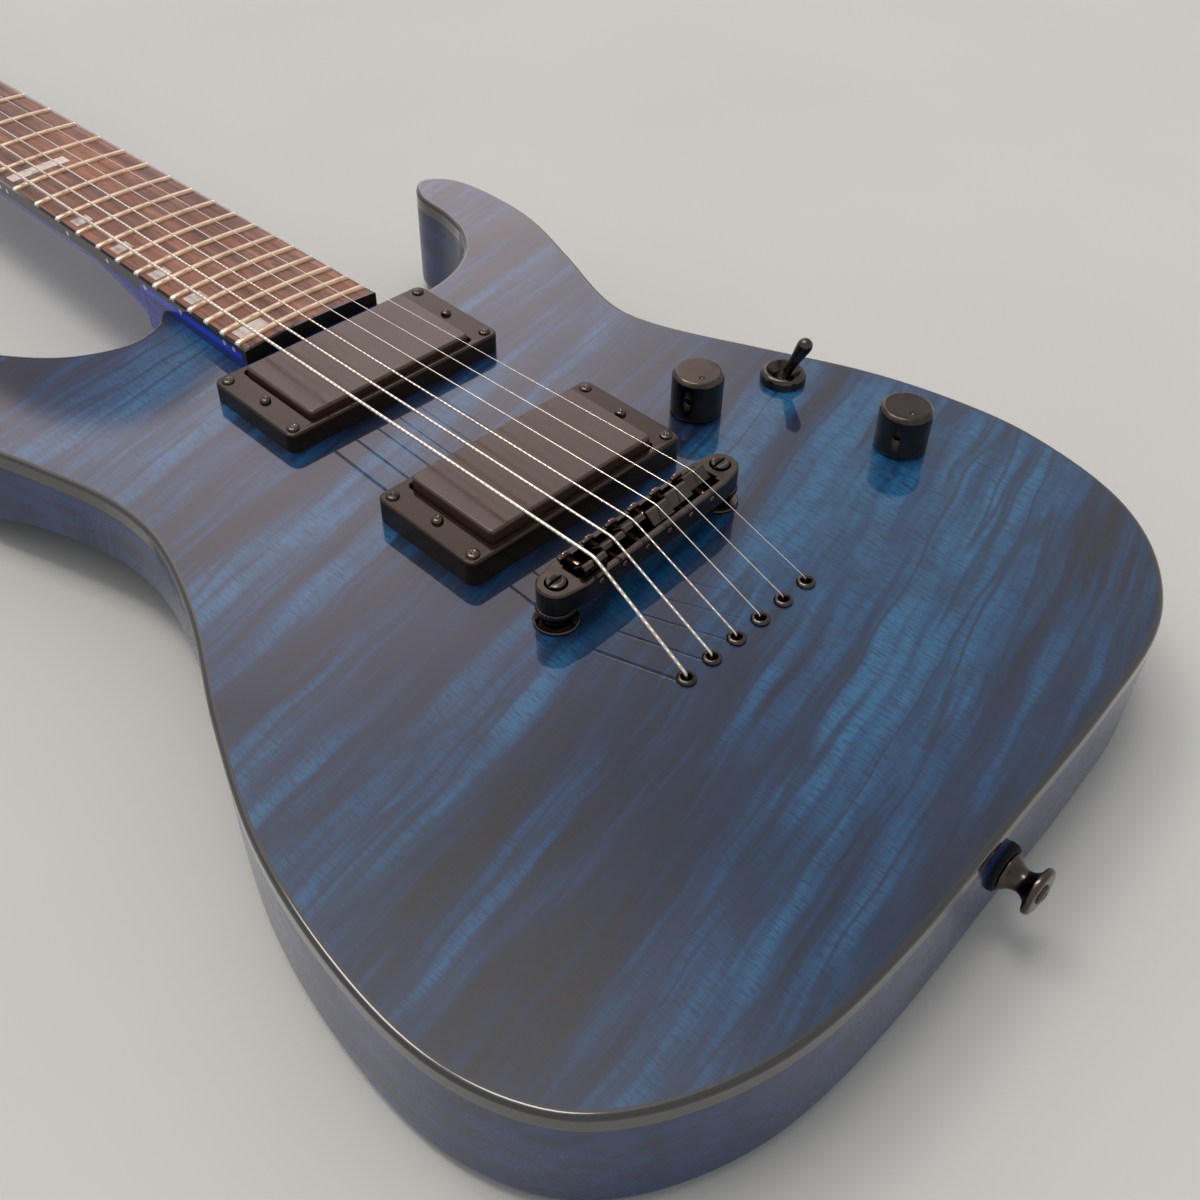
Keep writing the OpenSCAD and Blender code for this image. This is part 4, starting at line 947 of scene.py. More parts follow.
def joined(name: str, *pieces: Object) -> Object:
    """Joins pieces of one body into one mesh that keeps their materials.

    Args:
        name: Name of the mesh.
        pieces: The pieces, of which the first takes in the others.

    Returns:
        The joined piece.
    """
    with bpy.context.temp_override(active_object=pieces[0], selected_editable_objects=list(pieces)):
        bpy.ops.object.join()
    pieces[0].name = name
    pieces[0].data.name = name
    return pieces[0]


def settle(obj: Object, body: str, node: str) -> None:
    """Ties a finished piece to a body in place of a solid.

    Args:
        obj: The piece.
        body: The body that carries it.
        node: The solid that it stands for.
    """
    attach(obj, body)
    Finish.of(obj).slot.value
    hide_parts(node)
    LOG.info("%s rides on %s", obj.name, body)


# Repeated pieces


class PieceTree:
    """Geometry nodes whose result is one plain mesh of one material."""

    name: ClassVar[str]
    kinds: ClassVar[dict[str, str]]

    def __init__(self) -> None:
        """Builds the tree and keeps the identifiers of its inputs by name."""
        self.tree = bpy.data.node_groups.new(self.name, "GeometryNodeTree")
        sockets = self.tree.interface
        kinds = {"Geometry": "Geometry", **self.kinds, "Finish": "Material"}
        self.inputs = {
            key: sockets.new_socket(key, in_out="INPUT", socket_type=f"NodeSocket{kind}").identifier
            for key, kind in kinds.items()
        }
        sockets.new_socket("Geometry", in_out="OUTPUT", socket_type="NodeSocketGeometry")
        kit = NodeKit(self.tree)
        given = kit.add("NodeGroupInput").outputs
        solid = kit.out("GeometryNodeRealizeInstances", {"Geometry": self.shape(kit, given)})
        dressed = kit.out("GeometryNodeSetMaterial", {"Geometry": solid, "Material": given["Finish"]})
        kit.add("NodeGroupOutput", {"Geometry": dressed})

    def shape(self, kit: NodeKit, given: Sequence[NodeSocket]) -> NodeSocket:
        """Returns the geometry that nodes make of the given inputs."""
        raise NotImplementedError

    def run(self, mesh: Mesh, finish: Finish, values: dict[str, object]) -> Object:
        """Runs the tree on a mesh.

        Args:
            mesh: The mesh, whose name the piece gets.
            finish: Finish of the piece.
            values: Values of the tree's own inputs by name.

        Returns:
            The result as a plain piece.
        """
        obj = add_object(mesh.name, mesh)
        modifier = obj.modifiers.new("nodes", "NODES")
        modifier.node_group = self.tree
        for key, value in {**values, "Finish": finish.material()}.items():
            modifier[self.inputs[key]] = value
        freeze(obj)
        return obj


class CopyTree(PieceTree):
    """Geometry nodes that set a copy of one piece on each point, with a turn and a size of its own."""

    name = "copies_on_points"
    kinds = {"Piece": "Object"}

    def shape(self, kit: NodeKit, given: Sequence[NodeSocket]) -> NodeSocket:
        """Makes the copies.

        Args:
            kit: Adds the nodes.
            given: The tree's inputs.

        Returns:
            The geometry.
        """
        return kit.out("GeometryNodeInstanceOnPoints", {
            "Points": given["Geometry"],
            "Instance": kit.add("GeometryNodeObjectInfo", {"Object": given["Piece"]}).outputs["Geometry"],
            "Rotation": kit.out("FunctionNodeEulerToRotation", {"Euler": kit.attribute("turn")}),
            "Scale": kit.attribute("size"),
        })

    def spread(self, name: str, piece: Object, places: Sequence[Matrix]) -> Object:
        """Sets copies of a piece at places and makes them one plain mesh.

        Args:
            name: Name of the new piece.
            piece: What is copied, at the origin. It is removed afterwards.
            places: Where each copy goes, in millimetres, and how it is scaled.

        Returns:
            The new piece.
        """
        mesh = bpy.data.meshes.new(name)
        mesh.from_pydata([place.translation * MM for place in places], [], [])
        turns = mesh.attributes.new("turn", "FLOAT_VECTOR", "POINT")
        sizes = mesh.attributes.new("size", "FLOAT_VECTOR", "POINT")
        for i, place in enumerate(places):
            turns.data[i].vector = place.to_euler()
            sizes.data[i].vector = place.to_scale()
        obj = self.run(mesh, Finish.of(piece), {"Piece": piece})
        discard(piece)
        return obj


class FretTree(PieceTree):
    """Geometry nodes that set frets along a scale and bend them over the board's crown."""

    name = "fret_scale"
    kinds = {"Piece": "Object", "Count": "Int"} | {
        key: "Float" for key in ("Scale Length", "Nut Width", "Widening", "Crown Radius")
    }

    def shape(self, kit: NodeKit, given: Sequence[NodeSocket]) -> NodeSocket:
        """Makes frets whose places halve the scale with each twelve.

        Args:
            kit: Adds the nodes.
            given: The tree's inputs.

        Returns:
            The geometry.
        """
        number = kit.maths("ADD", kit.out("GeometryNodeInputIndex"), 1.0)
        octave = kit.maths("DIVIDE", number, -12.0)
        along = kit.maths("MULTIPLY", given["Scale Length"], kit.maths("POWER", 2.0, octave))
        way = kit.maths("SUBTRACT", given["Scale Length"], along)
        width = kit.maths("ADD", given["Nut Width"], kit.maths("MULTIPLY", way, given["Widening"]))
        spots = {"Count": given["Count"], "Position": kit.axes(y=along)}
        sized = kit.out("GeometryNodeStoreNamedAttribute", {
            "Geometry": kit.out("GeometryNodePoints", spots),
            "Name": "width", "Value": kit.axes(x=width, y=1.0, z=1.0),
        }, data_type="FLOAT_VECTOR")
        copies = kit.out("GeometryNodeInstanceOnPoints", {
            "Points": sized,
            "Instance": kit.add("GeometryNodeObjectInfo", {"Object": given["Piece"]}).outputs["Geometry"],
            "Scale": kit.attribute("width"),
        })
        solid = kit.out("GeometryNodeRealizeInstances", {"Geometry": copies})
        x = kit.out("ShaderNodeSeparateXYZ", {0: kit.out("GeometryNodeInputPosition")})
        across = kit.maths("MULTIPLY", given["Crown Radius"], -2.0)
        fall = kit.maths("DIVIDE", kit.maths("MULTIPLY", x, x), across)
        return kit.out("GeometryNodeSetPosition", {"Geometry": solid, "Offset": kit.axes(z=fall)})


class WireTree(PieceTree):
    """Geometry nodes that sweep a round wire along a path."""

    name = "wire_along_path"
    kinds = {"Radius": "Float", "Sides": "Int"}

    def shape(self, kit: NodeKit, given: Sequence[NodeSocket]) -> NodeSocket:
        """Makes the wire with its ends closed.

        Args:
            kit: Adds the nodes.
            given: The tree's inputs.

        Returns:
            The geometry.
        """
        rim = {"Resolution": given["Sides"], "Radius": given["Radius"]}
        swept = kit.out("GeometryNodeCurveToMesh", {
            "Curve": kit.out("GeometryNodeMeshToCurve", {"Mesh": given["Geometry"]}),
            "Profile Curve": kit.out("GeometryNodeCurvePrimitiveCircle", rim),
            "Fill Caps": True,
        })
        return kit.out("GeometryNodeSetShadeSmooth", {"Geometry": swept})

    def sweep(self, name: str, path: Sequence[Vector], radius: float, finish: Finish) -> Object:
        """Sweeps a wire along points.

        Args:
            name: Name of the piece.
            path: The points, in millimetres.
            radius: Radius of the wire, in millimetres.
            finish: Finish of the wire.

        Returns:
            The wire as a plain mesh.
        """
        mesh = bpy.data.meshes.new(name)
        mesh.from_pydata([p * MM for p in path], [(i, i + 1) for i in range(len(path) - 1)], [])
        obj = self.run(mesh, finish, {"Radius": radius * MM, "Sides": WIRE_SIDES})
        work = bmesh.new()
        work.from_mesh(obj.data)
        bmesh.ops.recalc_face_normals(work, faces=work.faces)
        work.to_mesh(obj.data)
        work.free()
        return obj


COPIES = CopyTree()
FRETS = FretTree()
WIRES = WireTree()


# The guitar's plan


@dataclass(frozen=True)
class Plan:
    """Sizes and places that several sub-assemblies share, in millimetres."""

    body_t: float = 45.0
    cap_t: float = 6.0
    cavity: tuple[Flat, ...] = (
        (52, 44), (64, 50), (90, 48), (109, 33), (113, 20), (117, -12), (117, -34), (113, -60),
        (60, -62), (52, -54),
    )
    jack_at: Spot = (135.0, -52.0, 21.0)
    pickup_ys: Flat = (41.8, 129.3)
    heel_ys: Flat = (156.0, 226.0)
    heel_depth: float = 25.0
    scale_len: float = 648.0
    fret_count: int = 24
    fret_h: float = 1.1
    nut_w: float = 43.0
    last_fret_w: float = 56.4
    board_t: float = 6.0
    edge_t: float = 3.2
    board_rise: float = 13.4
    board_radius: float = 350.0
    neck_angle: float = 1.32
    nut_len: float = 4.0
    head_angle: float = 4.0
    head_t: float = 13.5
    bridge_angle: float = 2.7
    bridge_back: float = 4.7
    nut_pitch: float = 7.1
    saddle_pitch: float = 9.9
    saddle_rise: float = 17.7
    saddle_offset: tuple[float, ...] = (-3.3, -1.4, -0.4, -0.9, 0.3, 1.7)
    ferrule_pitch: float = 10.8
    ferrule_back: float = 47.0
    ferrule_slope: float = 0.028
    post_x: float = 22.0
    post_first: float = 32.0
    post_step: float = 38.0
    post_r: float = 3.0
    string_d: tuple[float, ...] = (1.17, 0.91, 0.66, 0.43, 0.33, 0.25)

    def neck(self) -> Matrix:
        """Returns the neck's frame: Y along the board, with its surface's middle at 0."""
        return move(0, 0, self.body_t + self.board_rise) @ turn(-self.neck_angle, "X")

    def head(self) -> Matrix:
        """Returns the headstock's frame, with its face at 0 and the nut behind it."""
        start = move(0, self.scale_len + self.nut_len, -self.board_t)
        return self.neck() @ start @ turn(-self.head_angle, "X")

    def bridge(self, x: float = 0.0, y: float = 0.0, z: float = 0.0) -> Matrix:
        """Returns a place in the bridge's frame: X along the bar, Z up from the top."""
        return move(0, -self.bridge_back, self.body_t) @ turn(self.bridge_angle, "Z") @ move(x, y, z)

    def widening(self) -> float:
        """Returns how much the board widens for each millimetre from the nut."""
        return (self.last_fret_w - self.nut_w) / (self.scale_len - self.fret_y(self.fret_count))

    def fret_y(self, number: int) -> float:
        """Returns the distance of a fret from the scale line."""
        return self.scale_len * 2 ** (-number / 12)

    def board_w(self, y: float) -> float:
        """Returns the board's width at a distance from the scale line."""
        return self.nut_w + self.widening() * (self.scale_len - y)

    def heel(self, spare: float, cut: float = 0.0) -> list[Vector]:
        """Draws the heel's plan.

        Args:
            spare: How far it goes past the heel lengthwise, half as much on each side.
            cut: How much is cut off its front corners.

        Returns:
            Points of the plan.
        """
        ends = (self.heel_ys[0] - spare, self.heel_ys[1] + spare)
        (w0, y0), (w1, y1) = [(self.board_w(y) / 2 + spare / 2, y) for y in ends]
        side = [Vector((w1 - cut, y1)), Vector((w1, y1 - cut)), Vector((w0, y0))]
        return mirrored(side[::-1]) + side

    def string_x(self, i: int, pitch: float) -> float:
        """Returns a string's place across a row of strings."""
        return (i - (len(self.string_d) - 1) / 2) * pitch

    def saddle_x(self, i: int) -> float:
        """Returns a string's place across the bridge."""
        return self.string_x(i, self.saddle_pitch)

    def ferrule(self, i: int, z: float = 0.0) -> Vector:
        """Returns a place in the hole of a string in the body."""
        x = self.string_x(i, self.ferrule_pitch)
        return Vector((x, -self.ferrule_back + self.ferrule_slope * x, z))

    def ferrules(self, z: float = 0.0) -> list[Matrix]:
        """Returns the places at one height in the holes of all the strings."""
        return [Matrix.Translation(self.ferrule(i, z)) for i in STRING_RANGE]

    def post_side(self, i: int) -> int:
        """Returns -1 for a tuner on the bass side and 1 on the treble side."""
        return -1 if i < 3 else 1

    def post(self, i: int) -> Vector:
        """Returns a tuner post's place on the headstock."""
        row = i if i < 3 else 5 - i
        return Vector((self.post_side(i) * self.post_x, self.post_first + self.post_step * row, 0))

    def post_frame(self, i: int) -> Matrix:
        """Returns a tuner's frame, with Z along its post."""
        return self.head() @ Matrix.Translation(self.post(i))


PLAN = Plan()
STRING_RANGE = range(len(PLAN.string_d))


# Body


@dataclass
class Body:
    """Back, figured top and edge binding."""

    knots: tuple[Flat, ...] = (
        (29, 156), (58, 157), (78, 166), (90, 181), (95, 196), (98, 217), (107, 226), (117, 219),
        (121, 200), (119, 170), (109, 138), (98, 108), (96, 92), (101, 73), (115, 42), (130, 8),
        (138, -23), (140, -52), (132, -88), (115, -112), (88, -128), (48, -134), (0, -137), (-50, -140),
        (-89, -138), (-118, -128), (-138, -112), (-149, -86), (-150, -52), (-143, -11), (-128, 29),
        (-110, 68), (-100, 102), (-100, 128), (-108, 159), (-118, 190), (-125, 220), (-126, 246),
        (-119, 267), (-111, 272), (-104, 266), (-96, 247), (-84, 226), (-68, 209), (-49, 201),
        (-36, 204), (-29, 211),
    )
    binding_ends: tuple[Flat, Flat] = ((26, 156), (-26, 213))
    steps: int = 8
    binding_w: float = 2.0
    binding_round: float = 1.5
    cap_gap: float = 0.05
    back_round: float = 5.0
    belly_r: float = 200.0
    belly_at: Flat = (-138.0, 130.0)
    belly_edge: float = 92.0
    heel_spare: float = 0.1
    heel_top: float = 4.0
    pickup_room: Spot = (70.0, 39.5, 22.0)
    tab_room: Flat = (88.0, 15.0)
    cavity_depth: float = 31.0
    ledge: float = 4.05
    cover_t: float = 2.55
    control_holes: tuple[Spot, ...] = ((68, 34, 4.6), (102, -26, 4.6), (103.5, 25, 6.1))
    string_hole: Flat = (2.3, 7.0)
    cup_hole: Flat = (4.2, 10.0)
    jack_room: Spot = (46.4, 24.4, 12.1)
    jack_hole: tuple[Flat, Flat] = ((9, -28), (9, 5))
    spare: float = 5.0

    def outline(self) -> list[Vector]:
        """Returns the body's outline, clockwise from the treble side of the neck."""
        return smooth_outline(self.knots, self.steps)

    def heel_room(self) -> Shape:
        """Returns the pocket for the neck's heel."""
        levels = [(0, -PLAN.heel_depth - self.heel_spare / 2), (0, self.heel_top)]
        return Shape().prism(PLAN.heel(self.heel_spare), levels, PLAN.neck())

    def rooms(self) -> Shape:
        """Draws the hollows that open on the top.

        Returns:
            The hollows.
        """
        rooms, top = Shape(), PLAN.body_t + self.spare
        length, width, depth = self.pickup_room
        tab = Vector(self.tab_room) / 2
        quarter = [Vector((length, width)) / 2, Vector((length / 2, tab.y)), tab]
        half = quarter + [Vector((p.x, -p.y)) for p in reversed(quarter)]
        for y in PLAN.pickup_ys:
            rooms.prism(half + [-p for p in half], [(0, -depth), (0, self.spare)], move(0, y, PLAN.body_t))
        for x, y, r in self.control_holes:
            rooms.lathe([(r, self.cavity_depth - 2), (r, top)], move(x, y, 0))
        r, depth = self.string_hole
        for place in PLAN.ferrules():
            rooms.lathe([(r, PLAN.body_t - depth), (r, top)], place, 24)
        return rooms

    def back(self) -> None:
        """Builds the back with its rounded edge, comfort cut and recesses."""
        levels = rounded_levels(0, PLAN.body_t - PLAN.cap_t, self.back_round, 0.0, 7)
        blank = Shape().prism(self.outline(), levels, closed=False)
        shell = blank.build("back_shell", SIDE_BLUE, weighted=False)
        ball = [tuple(polar(self.belly_r, a).yx) for a in arc(0, 34, 34)]
        drop = -math.sqrt(self.belly_r**2 - self.belly_edge**2)
        carve(shell, Shape().lathe(ball, move(*self.belly_at, drop), 120))
        carve(shell, self.heel_room())
        carve(shell, self.rooms())
        cavity = [Vector(p) for p in PLAN.cavity]
        sideways = move(*PLAN.jack_at) @ turn(90, "Y") @ turn(90, "Z")
        ledges = Shape().prism(inset(cavity, -self.ledge), [(0, -1.0), (0, self.cover_t)])
        ledges.prism(rounded_rect(*self.jack_room), [(0, 0.0), (0, 10.0)], sideways)
        r, depth = self.cup_hole
        for place in PLAN.ferrules():
            ledges.lathe([(r, -1), (r, depth)], place, 40)
        carve(shell, ledges)
        carve(shell, Shape().prism(cavity, [(0, 1.0), (0, self.cavity_depth)]))
        carve(shell, Shape().lathe(self.jack_hole, sideways))
        settle(shell, "guitar", "body_back")

    def top(self) -> None:
        """Builds the figured top inside the binding."""
        low = PLAN.body_t - PLAN.cap_t + self.cap_gap
        outline = inset(self.outline(), self.binding_w, closed=False)
        top = Shape().prism(outline, [(0, low), (0, PLAN.body_t)]).build("figured_top", FLAMED_TOP)
        carve(top, self.heel_room())
        carve(top, self.rooms())
        settle(top, "guitar", "body_top")

    def binding(self) -> None:
        """Builds the binding, whose outer top edge is scraped round."""
        start, end = (Vector(p) for p in self.binding_ends)
        low, high = PLAN.body_t - PLAN.cap_t + self.cap_gap, PLAN.body_t - 0.01
        inner = self.binding_w + 0.02
        section = rounded_levels(low, high, 0.0, self.binding_round, 6) + [(inner, high), (inner, low)]
        lines = stack([start, *self.outline(), end], section, closed=False)
        settle(Shape().loft(list(zip(*lines))).build("edge_binding", BINDING), "guitar", "body_binding")

    def build(self) -> None:
        """Builds the body's pieces."""
        self.back()
        self.top()
        self.binding()


# Neck


@dataclass
class Neck:
    """Neck wood, frets, and the cover over the truss rod's end."""

    loft_start_y: float = 223.0
    loft_depth: float = 18.0
    thin_start_y: float = 264.0
    depth_heel: float = 16.5
    depth_nut: float = 14.0
    loft_end_y: float = 656.0
    heel_power: float = 0.35
    neck_power: float = 1.25
    heel_round: float = 4.0
    heel_gap: float = 0.3
    head_gap: float = 0.6
    heel_cut: float = 0.6
    head_round: Flat = (2.0, 1.2)
    section_steps: int = 36
    stations: tuple[float, ...] = (227, *range(232, 268, 4), *range(280, 664, 24), 650)
    sharp: float = 50.0
    veneer: Flat = (0.1, -1.6)
    head_knots: tuple[Flat, ...] = (
        (21.5, 0), (22.5, 8), (32, 20), (38, 34), (39.5, 75), (40.5, 118), (36, 132), (20, 139), (0, 141),
    )
    fret_w: float = 2.7
    fret_sink: float = 0.15
    fret_inset: float = 0.8
    fret_flat: float = 0.47
    fret_steps: int = 16
    fret_ends: tuple[Flat, ...] = ((-0.5, 0.25), (-0.494, 0.7), (-0.485, 0.95))
    end_lean: float = 9.0
    cover_knots: tuple[Flat, ...] = (
        (0, 1), (7, 1.4), (10, 5), (9.4, 13), (7.0, 24), (5.0, 34), (3.4, 37.8), (0, 39),
    )
    cover_t: float = 2.2
    cover_screws: Flat = (3.5, 34.0)
    screw: Flat = (1.8, 0.9)

    def part(self, y: float) -> float:
        """Returns how far a place is between the heel and the thin neck."""
        return min(1.0, (y - self.loft_start_y) / (self.thin_start_y - self.loft_start_y))

    def depth(self, y: float) -> float:
        """Finds the thickness of neck wood under the board.

        Args:
            y: Distance from the scale line.

        Returns:
            The thickness.
        """
        if y < self.thin_start_y:
            fall = (1 - math.cos(math.pi * self.part(y))) / 2
            return self.loft_depth + (self.depth_heel - self.loft_depth) * fall
        share = (y - self.thin_start_y) / (PLAN.scale_len - self.thin_start_y)
        return self.depth_heel + (self.depth_nut - self.depth_heel) * share

    def section(self, y: float) -> list[Vector]:
        """Draws the neck's section, flat on top and rounded below.

        Args:
            y: Distance from the scale line.

        Returns:
            Points of the section.
        """
        power = self.heel_power + (self.neck_power - self.heel_power) * self.part(y)
        half = PLAN.board_w(y) / 2 - (self.heel_gap if y < PLAN.heel_ys[1] else 0.0)
        top = -PLAN.board_t - (self.head_gap if y >= self.loft_end_y else 0.0)
        points = []
        for c, s in (polar(1.0, a) for a in arc(0, 180, self.section_steps)):
            fall = self.depth(y) * abs(s) ** power
            points.append(Vector((half * math.copysign(abs(c) ** power, c), y, top - fall)))
        return points

    def wood(self) -> None:
        """Builds the heel, the neck and the headstock as one piece."""
        stations = [self.loft_start_y, *self.stations, self.loft_end_y]
        loft = Shape().loft([self.section(y) for y in stations], PLAN.neck())
        wood = loft.build("neck_wood", NECK_BLUE, self.sharp)
        levels = rounded_levels(-PLAN.heel_depth, -PLAN.board_t, self.heel_round, 0.0, 6)
        heel = Shape().prism(PLAN.heel(0.0, self.heel_cut), levels, PLAN.neck())
        carve(wood, heel, Cut.JOIN, self.sharp)
        side = smooth_outline(self.head_knots, 8)
        outline = mirrored(side) + side[-2::-1]
        levels = rounded_levels(-PLAN.head_t, 0, *self.head_round, 5)
        half = len(levels) // 2
        back = Shape().prism(outline, levels[:half + 1], PLAN.head())
        face = Shape().prism(outline, [self.veneer, *levels[half:]], PLAN.head())
        head = back.build("headstock", NECK_BLUE, self.sharp), face.build("veneer", FLAMED_TOP, self.sharp)
        settle(joined("neck_wood", wood, *head), "guitar", "neck")

    def frets(self) -> None:
        """Builds the frets from a domed wire with dressed ends."""
        span, steps = 2 * self.fret_flat, self.fret_steps
        rings = [*self.fret_ends, *((-self.fret_flat + span * k / steps, 1.0) for k in range(steps + 1))]
        rings += [(-x, share) for x, share in reversed(self.fret_ends)]
        r = self.fret_w / 2
        section = [(r * math.cos(a), PLAN.fret_h * math.sin(a) ** 0.8 + 0.02) for a in arc(0, 180, 10)]
        section += [(-r, -self.fret_sink), (r, -self.fret_sink)]
        wire = Shape().loft([[Vector((x / MM, y, z * share)) for y, z in section] for x, share in rings])
        piece = wire.build("fret_wire", NICKEL, 60)
        row = FRETS.run(bpy.data.meshes.new("fret_row"), NICKEL, {
            "Piece": piece,
            "Count": PLAN.fret_count,
            "Scale Length": PLAN.scale_len * MM,
            "Nut Width": (PLAN.nut_w - self.fret_inset) * MM,
            "Widening": PLAN.widening(),
            "Crown Radius": PLAN.board_radius * MM,
        })
        discard(piece)
        place = PLAN.neck()
        place.translation *= MM
        row.data.transform(place)
        settle(joined("fret_row", row, self.beads()), "guitar", "frets")

    def beads(self) -> Object:
        """Builds the polished round ends of the frets, whose nickel is painted much brighter than the frets'
        as a painted highlight.

        Returns:
            The ends as one mesh.
        """
        r = self.fret_w / 2
        dome = [(r * math.cos(a), PLAN.fret_h * math.sin(a)) for a in arc(0, 90, 8)]
        bead = Shape().lathe([(0, -0.4), (r, -0.4), *dome], count=20).build("fret_end", FRET_END_HIGHLIGHT, 60)
        places = []
        for y in (PLAN.fret_y(n + 1) for n in range(PLAN.fret_count)):
            for side in (-1, 1):
                x = side * (PLAN.board_w(y) / 2 - r)
                spot = move(x, y, -x * x / (2 * PLAN.board_radius))
                places.append(PLAN.neck() @ spot @ turn(side * self.end_lean, "Y"))
        return COPIES.spread("fret_ends", bead, places)

    def rod_cover(self) -> None:
        """Builds the cover over the truss rod's end."""
        side = smooth_outline(self.cover_knots, 6)
        levels = rounded_levels(0.05, self.cover_t, 0.0, 0.7, 4)
        plate = Shape().prism(mirrored(side) + side[-2:0:-1], levels, PLAN.head())
        settle(plate.build("rod_cover", GLOSS), "guitar", "truss_rod_cover")

    def screws(self) -> list[Matrix]:
        """Returns the heads of the rod cover's screws."""
        return [PLAN.head() @ move(0, y, self.cover_t) @ swell(*self.screw) for y in self.cover_screws]

    def build(self) -> None:
        """Builds the neck's pieces."""
        self.wood()
        self.frets()
        self.rod_cover()


# Strings


@dataclass
class StringSet:
    """Strings, their ball ends, and the ferrules that they run through."""

    crest_step: int = 11
    crest_gap: float = 0.12
    nut_gap: float = 0.5
    hole_gap: Flat = (0.2, 1.7)
    bend_reach: tuple[float, ...] = (1.2, 1.6, 0.8, 0.8)
    bend_steps: int = 6
    post_turns: float = 2.25
    post_gap: float = 0.25
    wind_start: float = 4.0
    wind_gap: float = 0.5
    ring_count: int = 36
    tail_reach: Flat = (6.0, 1.0)
    tail_start: float = 7.0
    ball_z: float = 6.9
    ball: tuple[Flat, ...] = (
        (0.7, -1.75), (1.6, -1.75), (1.95, -1.3), (1.95, 1.3), (1.6, 1.75), (0.7, 1.75),
    )
    eyelet: tuple[Flat, ...] = (
        (1.25, -5.5), (2.25, -5.5), (2.25, 0.02), (2.9, 0.02), (2.9, 0.45), (2.7, 0.85), (2.25, 1.2),
        (1.8, 1.2), (1.5, 0.75), (1.25, 0.3),
    )
    cup: tuple[Flat, ...] = (
        (1.25, 10), (4.15, 10), (4.15, 0.3), (3.9, 0.02), (3.1, 0.02), (2.75, 0.5), (2.7, 8.8), (1.25, 8.8),
    )

    def winding(self, i: int) -> list[Vector]:
        """Draws a string's turns round its post.

        Args:
            i: Number of the string.

        Returns:
            Points of the turns in the headstock's frame.
        """
        radius = PLAN.string_d[i] / 2
        side, post = PLAN.post_side(i), PLAN.post(i)
        exit_at = PLAN.head().inverted() @ (PLAN.neck() @ self.nut_point(i, PLAN.nut_len))
        way = (post - exit_at).to_2d()
        wind_r = PLAN.post_r + self.post_gap + radius
        start = math.atan2(way.y, way.x) + side * (math.asin(wind_r / way.length) + math.pi / 2)
        points = []
        for t in (k / self.ring_count for k in range(int(self.ring_count * self.post_turns) + 1)):
            lift = self.wind_start + radius + (PLAN.string_d[i] + self.wind_gap) * t
            points.append(post + Vector((*polar(wind_r, start - side * math.tau * t), lift)))
        return points

    def nut_point(self, i: int, past: float) -> Vector:
        """Returns a place on a string past the nut's edge, in the neck's frame."""
        rise = PLAN.fret_h + self.nut_gap + PLAN.string_d[i] / 2
        return Vector((PLAN.string_x(i, PLAN.nut_pitch), PLAN.scale_len + past, rise))

    def path(self, i: int) -> list[Vector]:
        """Draws a string's way from its ball end to the end of its winding.

        Args:
            i: Number of the string.

        Returns:
            Points along the string.
        """
        rise = PLAN.saddle_rise + PLAN.string_d[i] / 2 + self.crest_gap
        bend = Vector((0, self.hole_gap[0], PLAN.body_t + self.hole_gap[1]))
        corners = [
            PLAN.ferrule(i, self.tail_start),
            PLAN.ferrule(i) + bend,
            PLAN.bridge() @ Vector((PLAN.saddle_x(i), PLAN.saddle_offset[i], rise)),
            PLAN.neck() @ self.nut_point(i, 0.0),
            PLAN.neck() @ self.nut_point(i, PLAN.nut_len),
            *(PLAN.head() @ p for p in self.winding(i)),
        ]
        path = [corners[0]]
        for k, reach in enumerate(self.bend_reach):
            before, at, after = corners[k:k + 3]
            start = at + (before - at).normalized() * reach
            end = at + (after - at).normalized() * reach
            for u in (step / self.bend_steps for step in range(self.bend_steps + 1)):
                path.append(start * (1 - u) ** 2 + at * (2 * u * (1 - u)) + end * u**2)
        return path + corners[5:]

    def follow_bridge(self, obj: Object) -> None:
        """Bakes a piece's place into its mesh and hides the solid of the strings.

        Args:
            obj: The piece.
        """
        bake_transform(obj)
        Finish.of(obj).slot.value
        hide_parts("strings")
        LOG.info("%s reaches from the bridge to the guitar", obj.name)

    def strings(self) -> None:
        """Builds the strings and, behind the saddles, their tails with the ball ends."""
        strings, tails = [], []
        for i in STRING_RANGE:
            finish = WOUND_STRING if i < 3 else PLAIN_STRING
            path, radius = self.path(i), PLAN.string_d[i] / 2
            strings.append(WIRES.sweep(f"string_{i + 1}", path[self.crest_step:], radius, finish))
            tails.append(WIRES.sweep(f"tail_{i + 1}", path[:self.crest_step + 1], radius, finish))
        barrel = Shape().lathe(self.ball, closed=True).build("ball_end", COPPERY)
        places = [place @ turn(90, "Y") for place in PLAN.ferrules(self.ball_z)]
        tails.append(COPIES.spread("ball_ends", barrel, places))
        self.follow_bridge(joined("string_set", *strings))
        self.follow_bridge(joined("string_tails", *tails))

    def ferrules(self) -> None:
        """Builds the small ferrules on the top and the cups in the back."""
        eyelet = Shape().lathe(self.eyelet, closed=True).build("eyelet")
        cup = Shape().lathe(self.cup, closed=True).build("cup")
        eyelets = COPIES.spread("eyelets", eyelet, PLAN.ferrules(PLAN.body_t))
        cups = COPIES.spread("cups", cup, PLAN.ferrules())
        settle(joined("ferrule_rows", eyelets, cups), "guitar", "string_ferrules")

    def build(self) -> None:
        """Builds the strings and ferrules."""
        self.strings()
        self.ferrules()


# Bridge


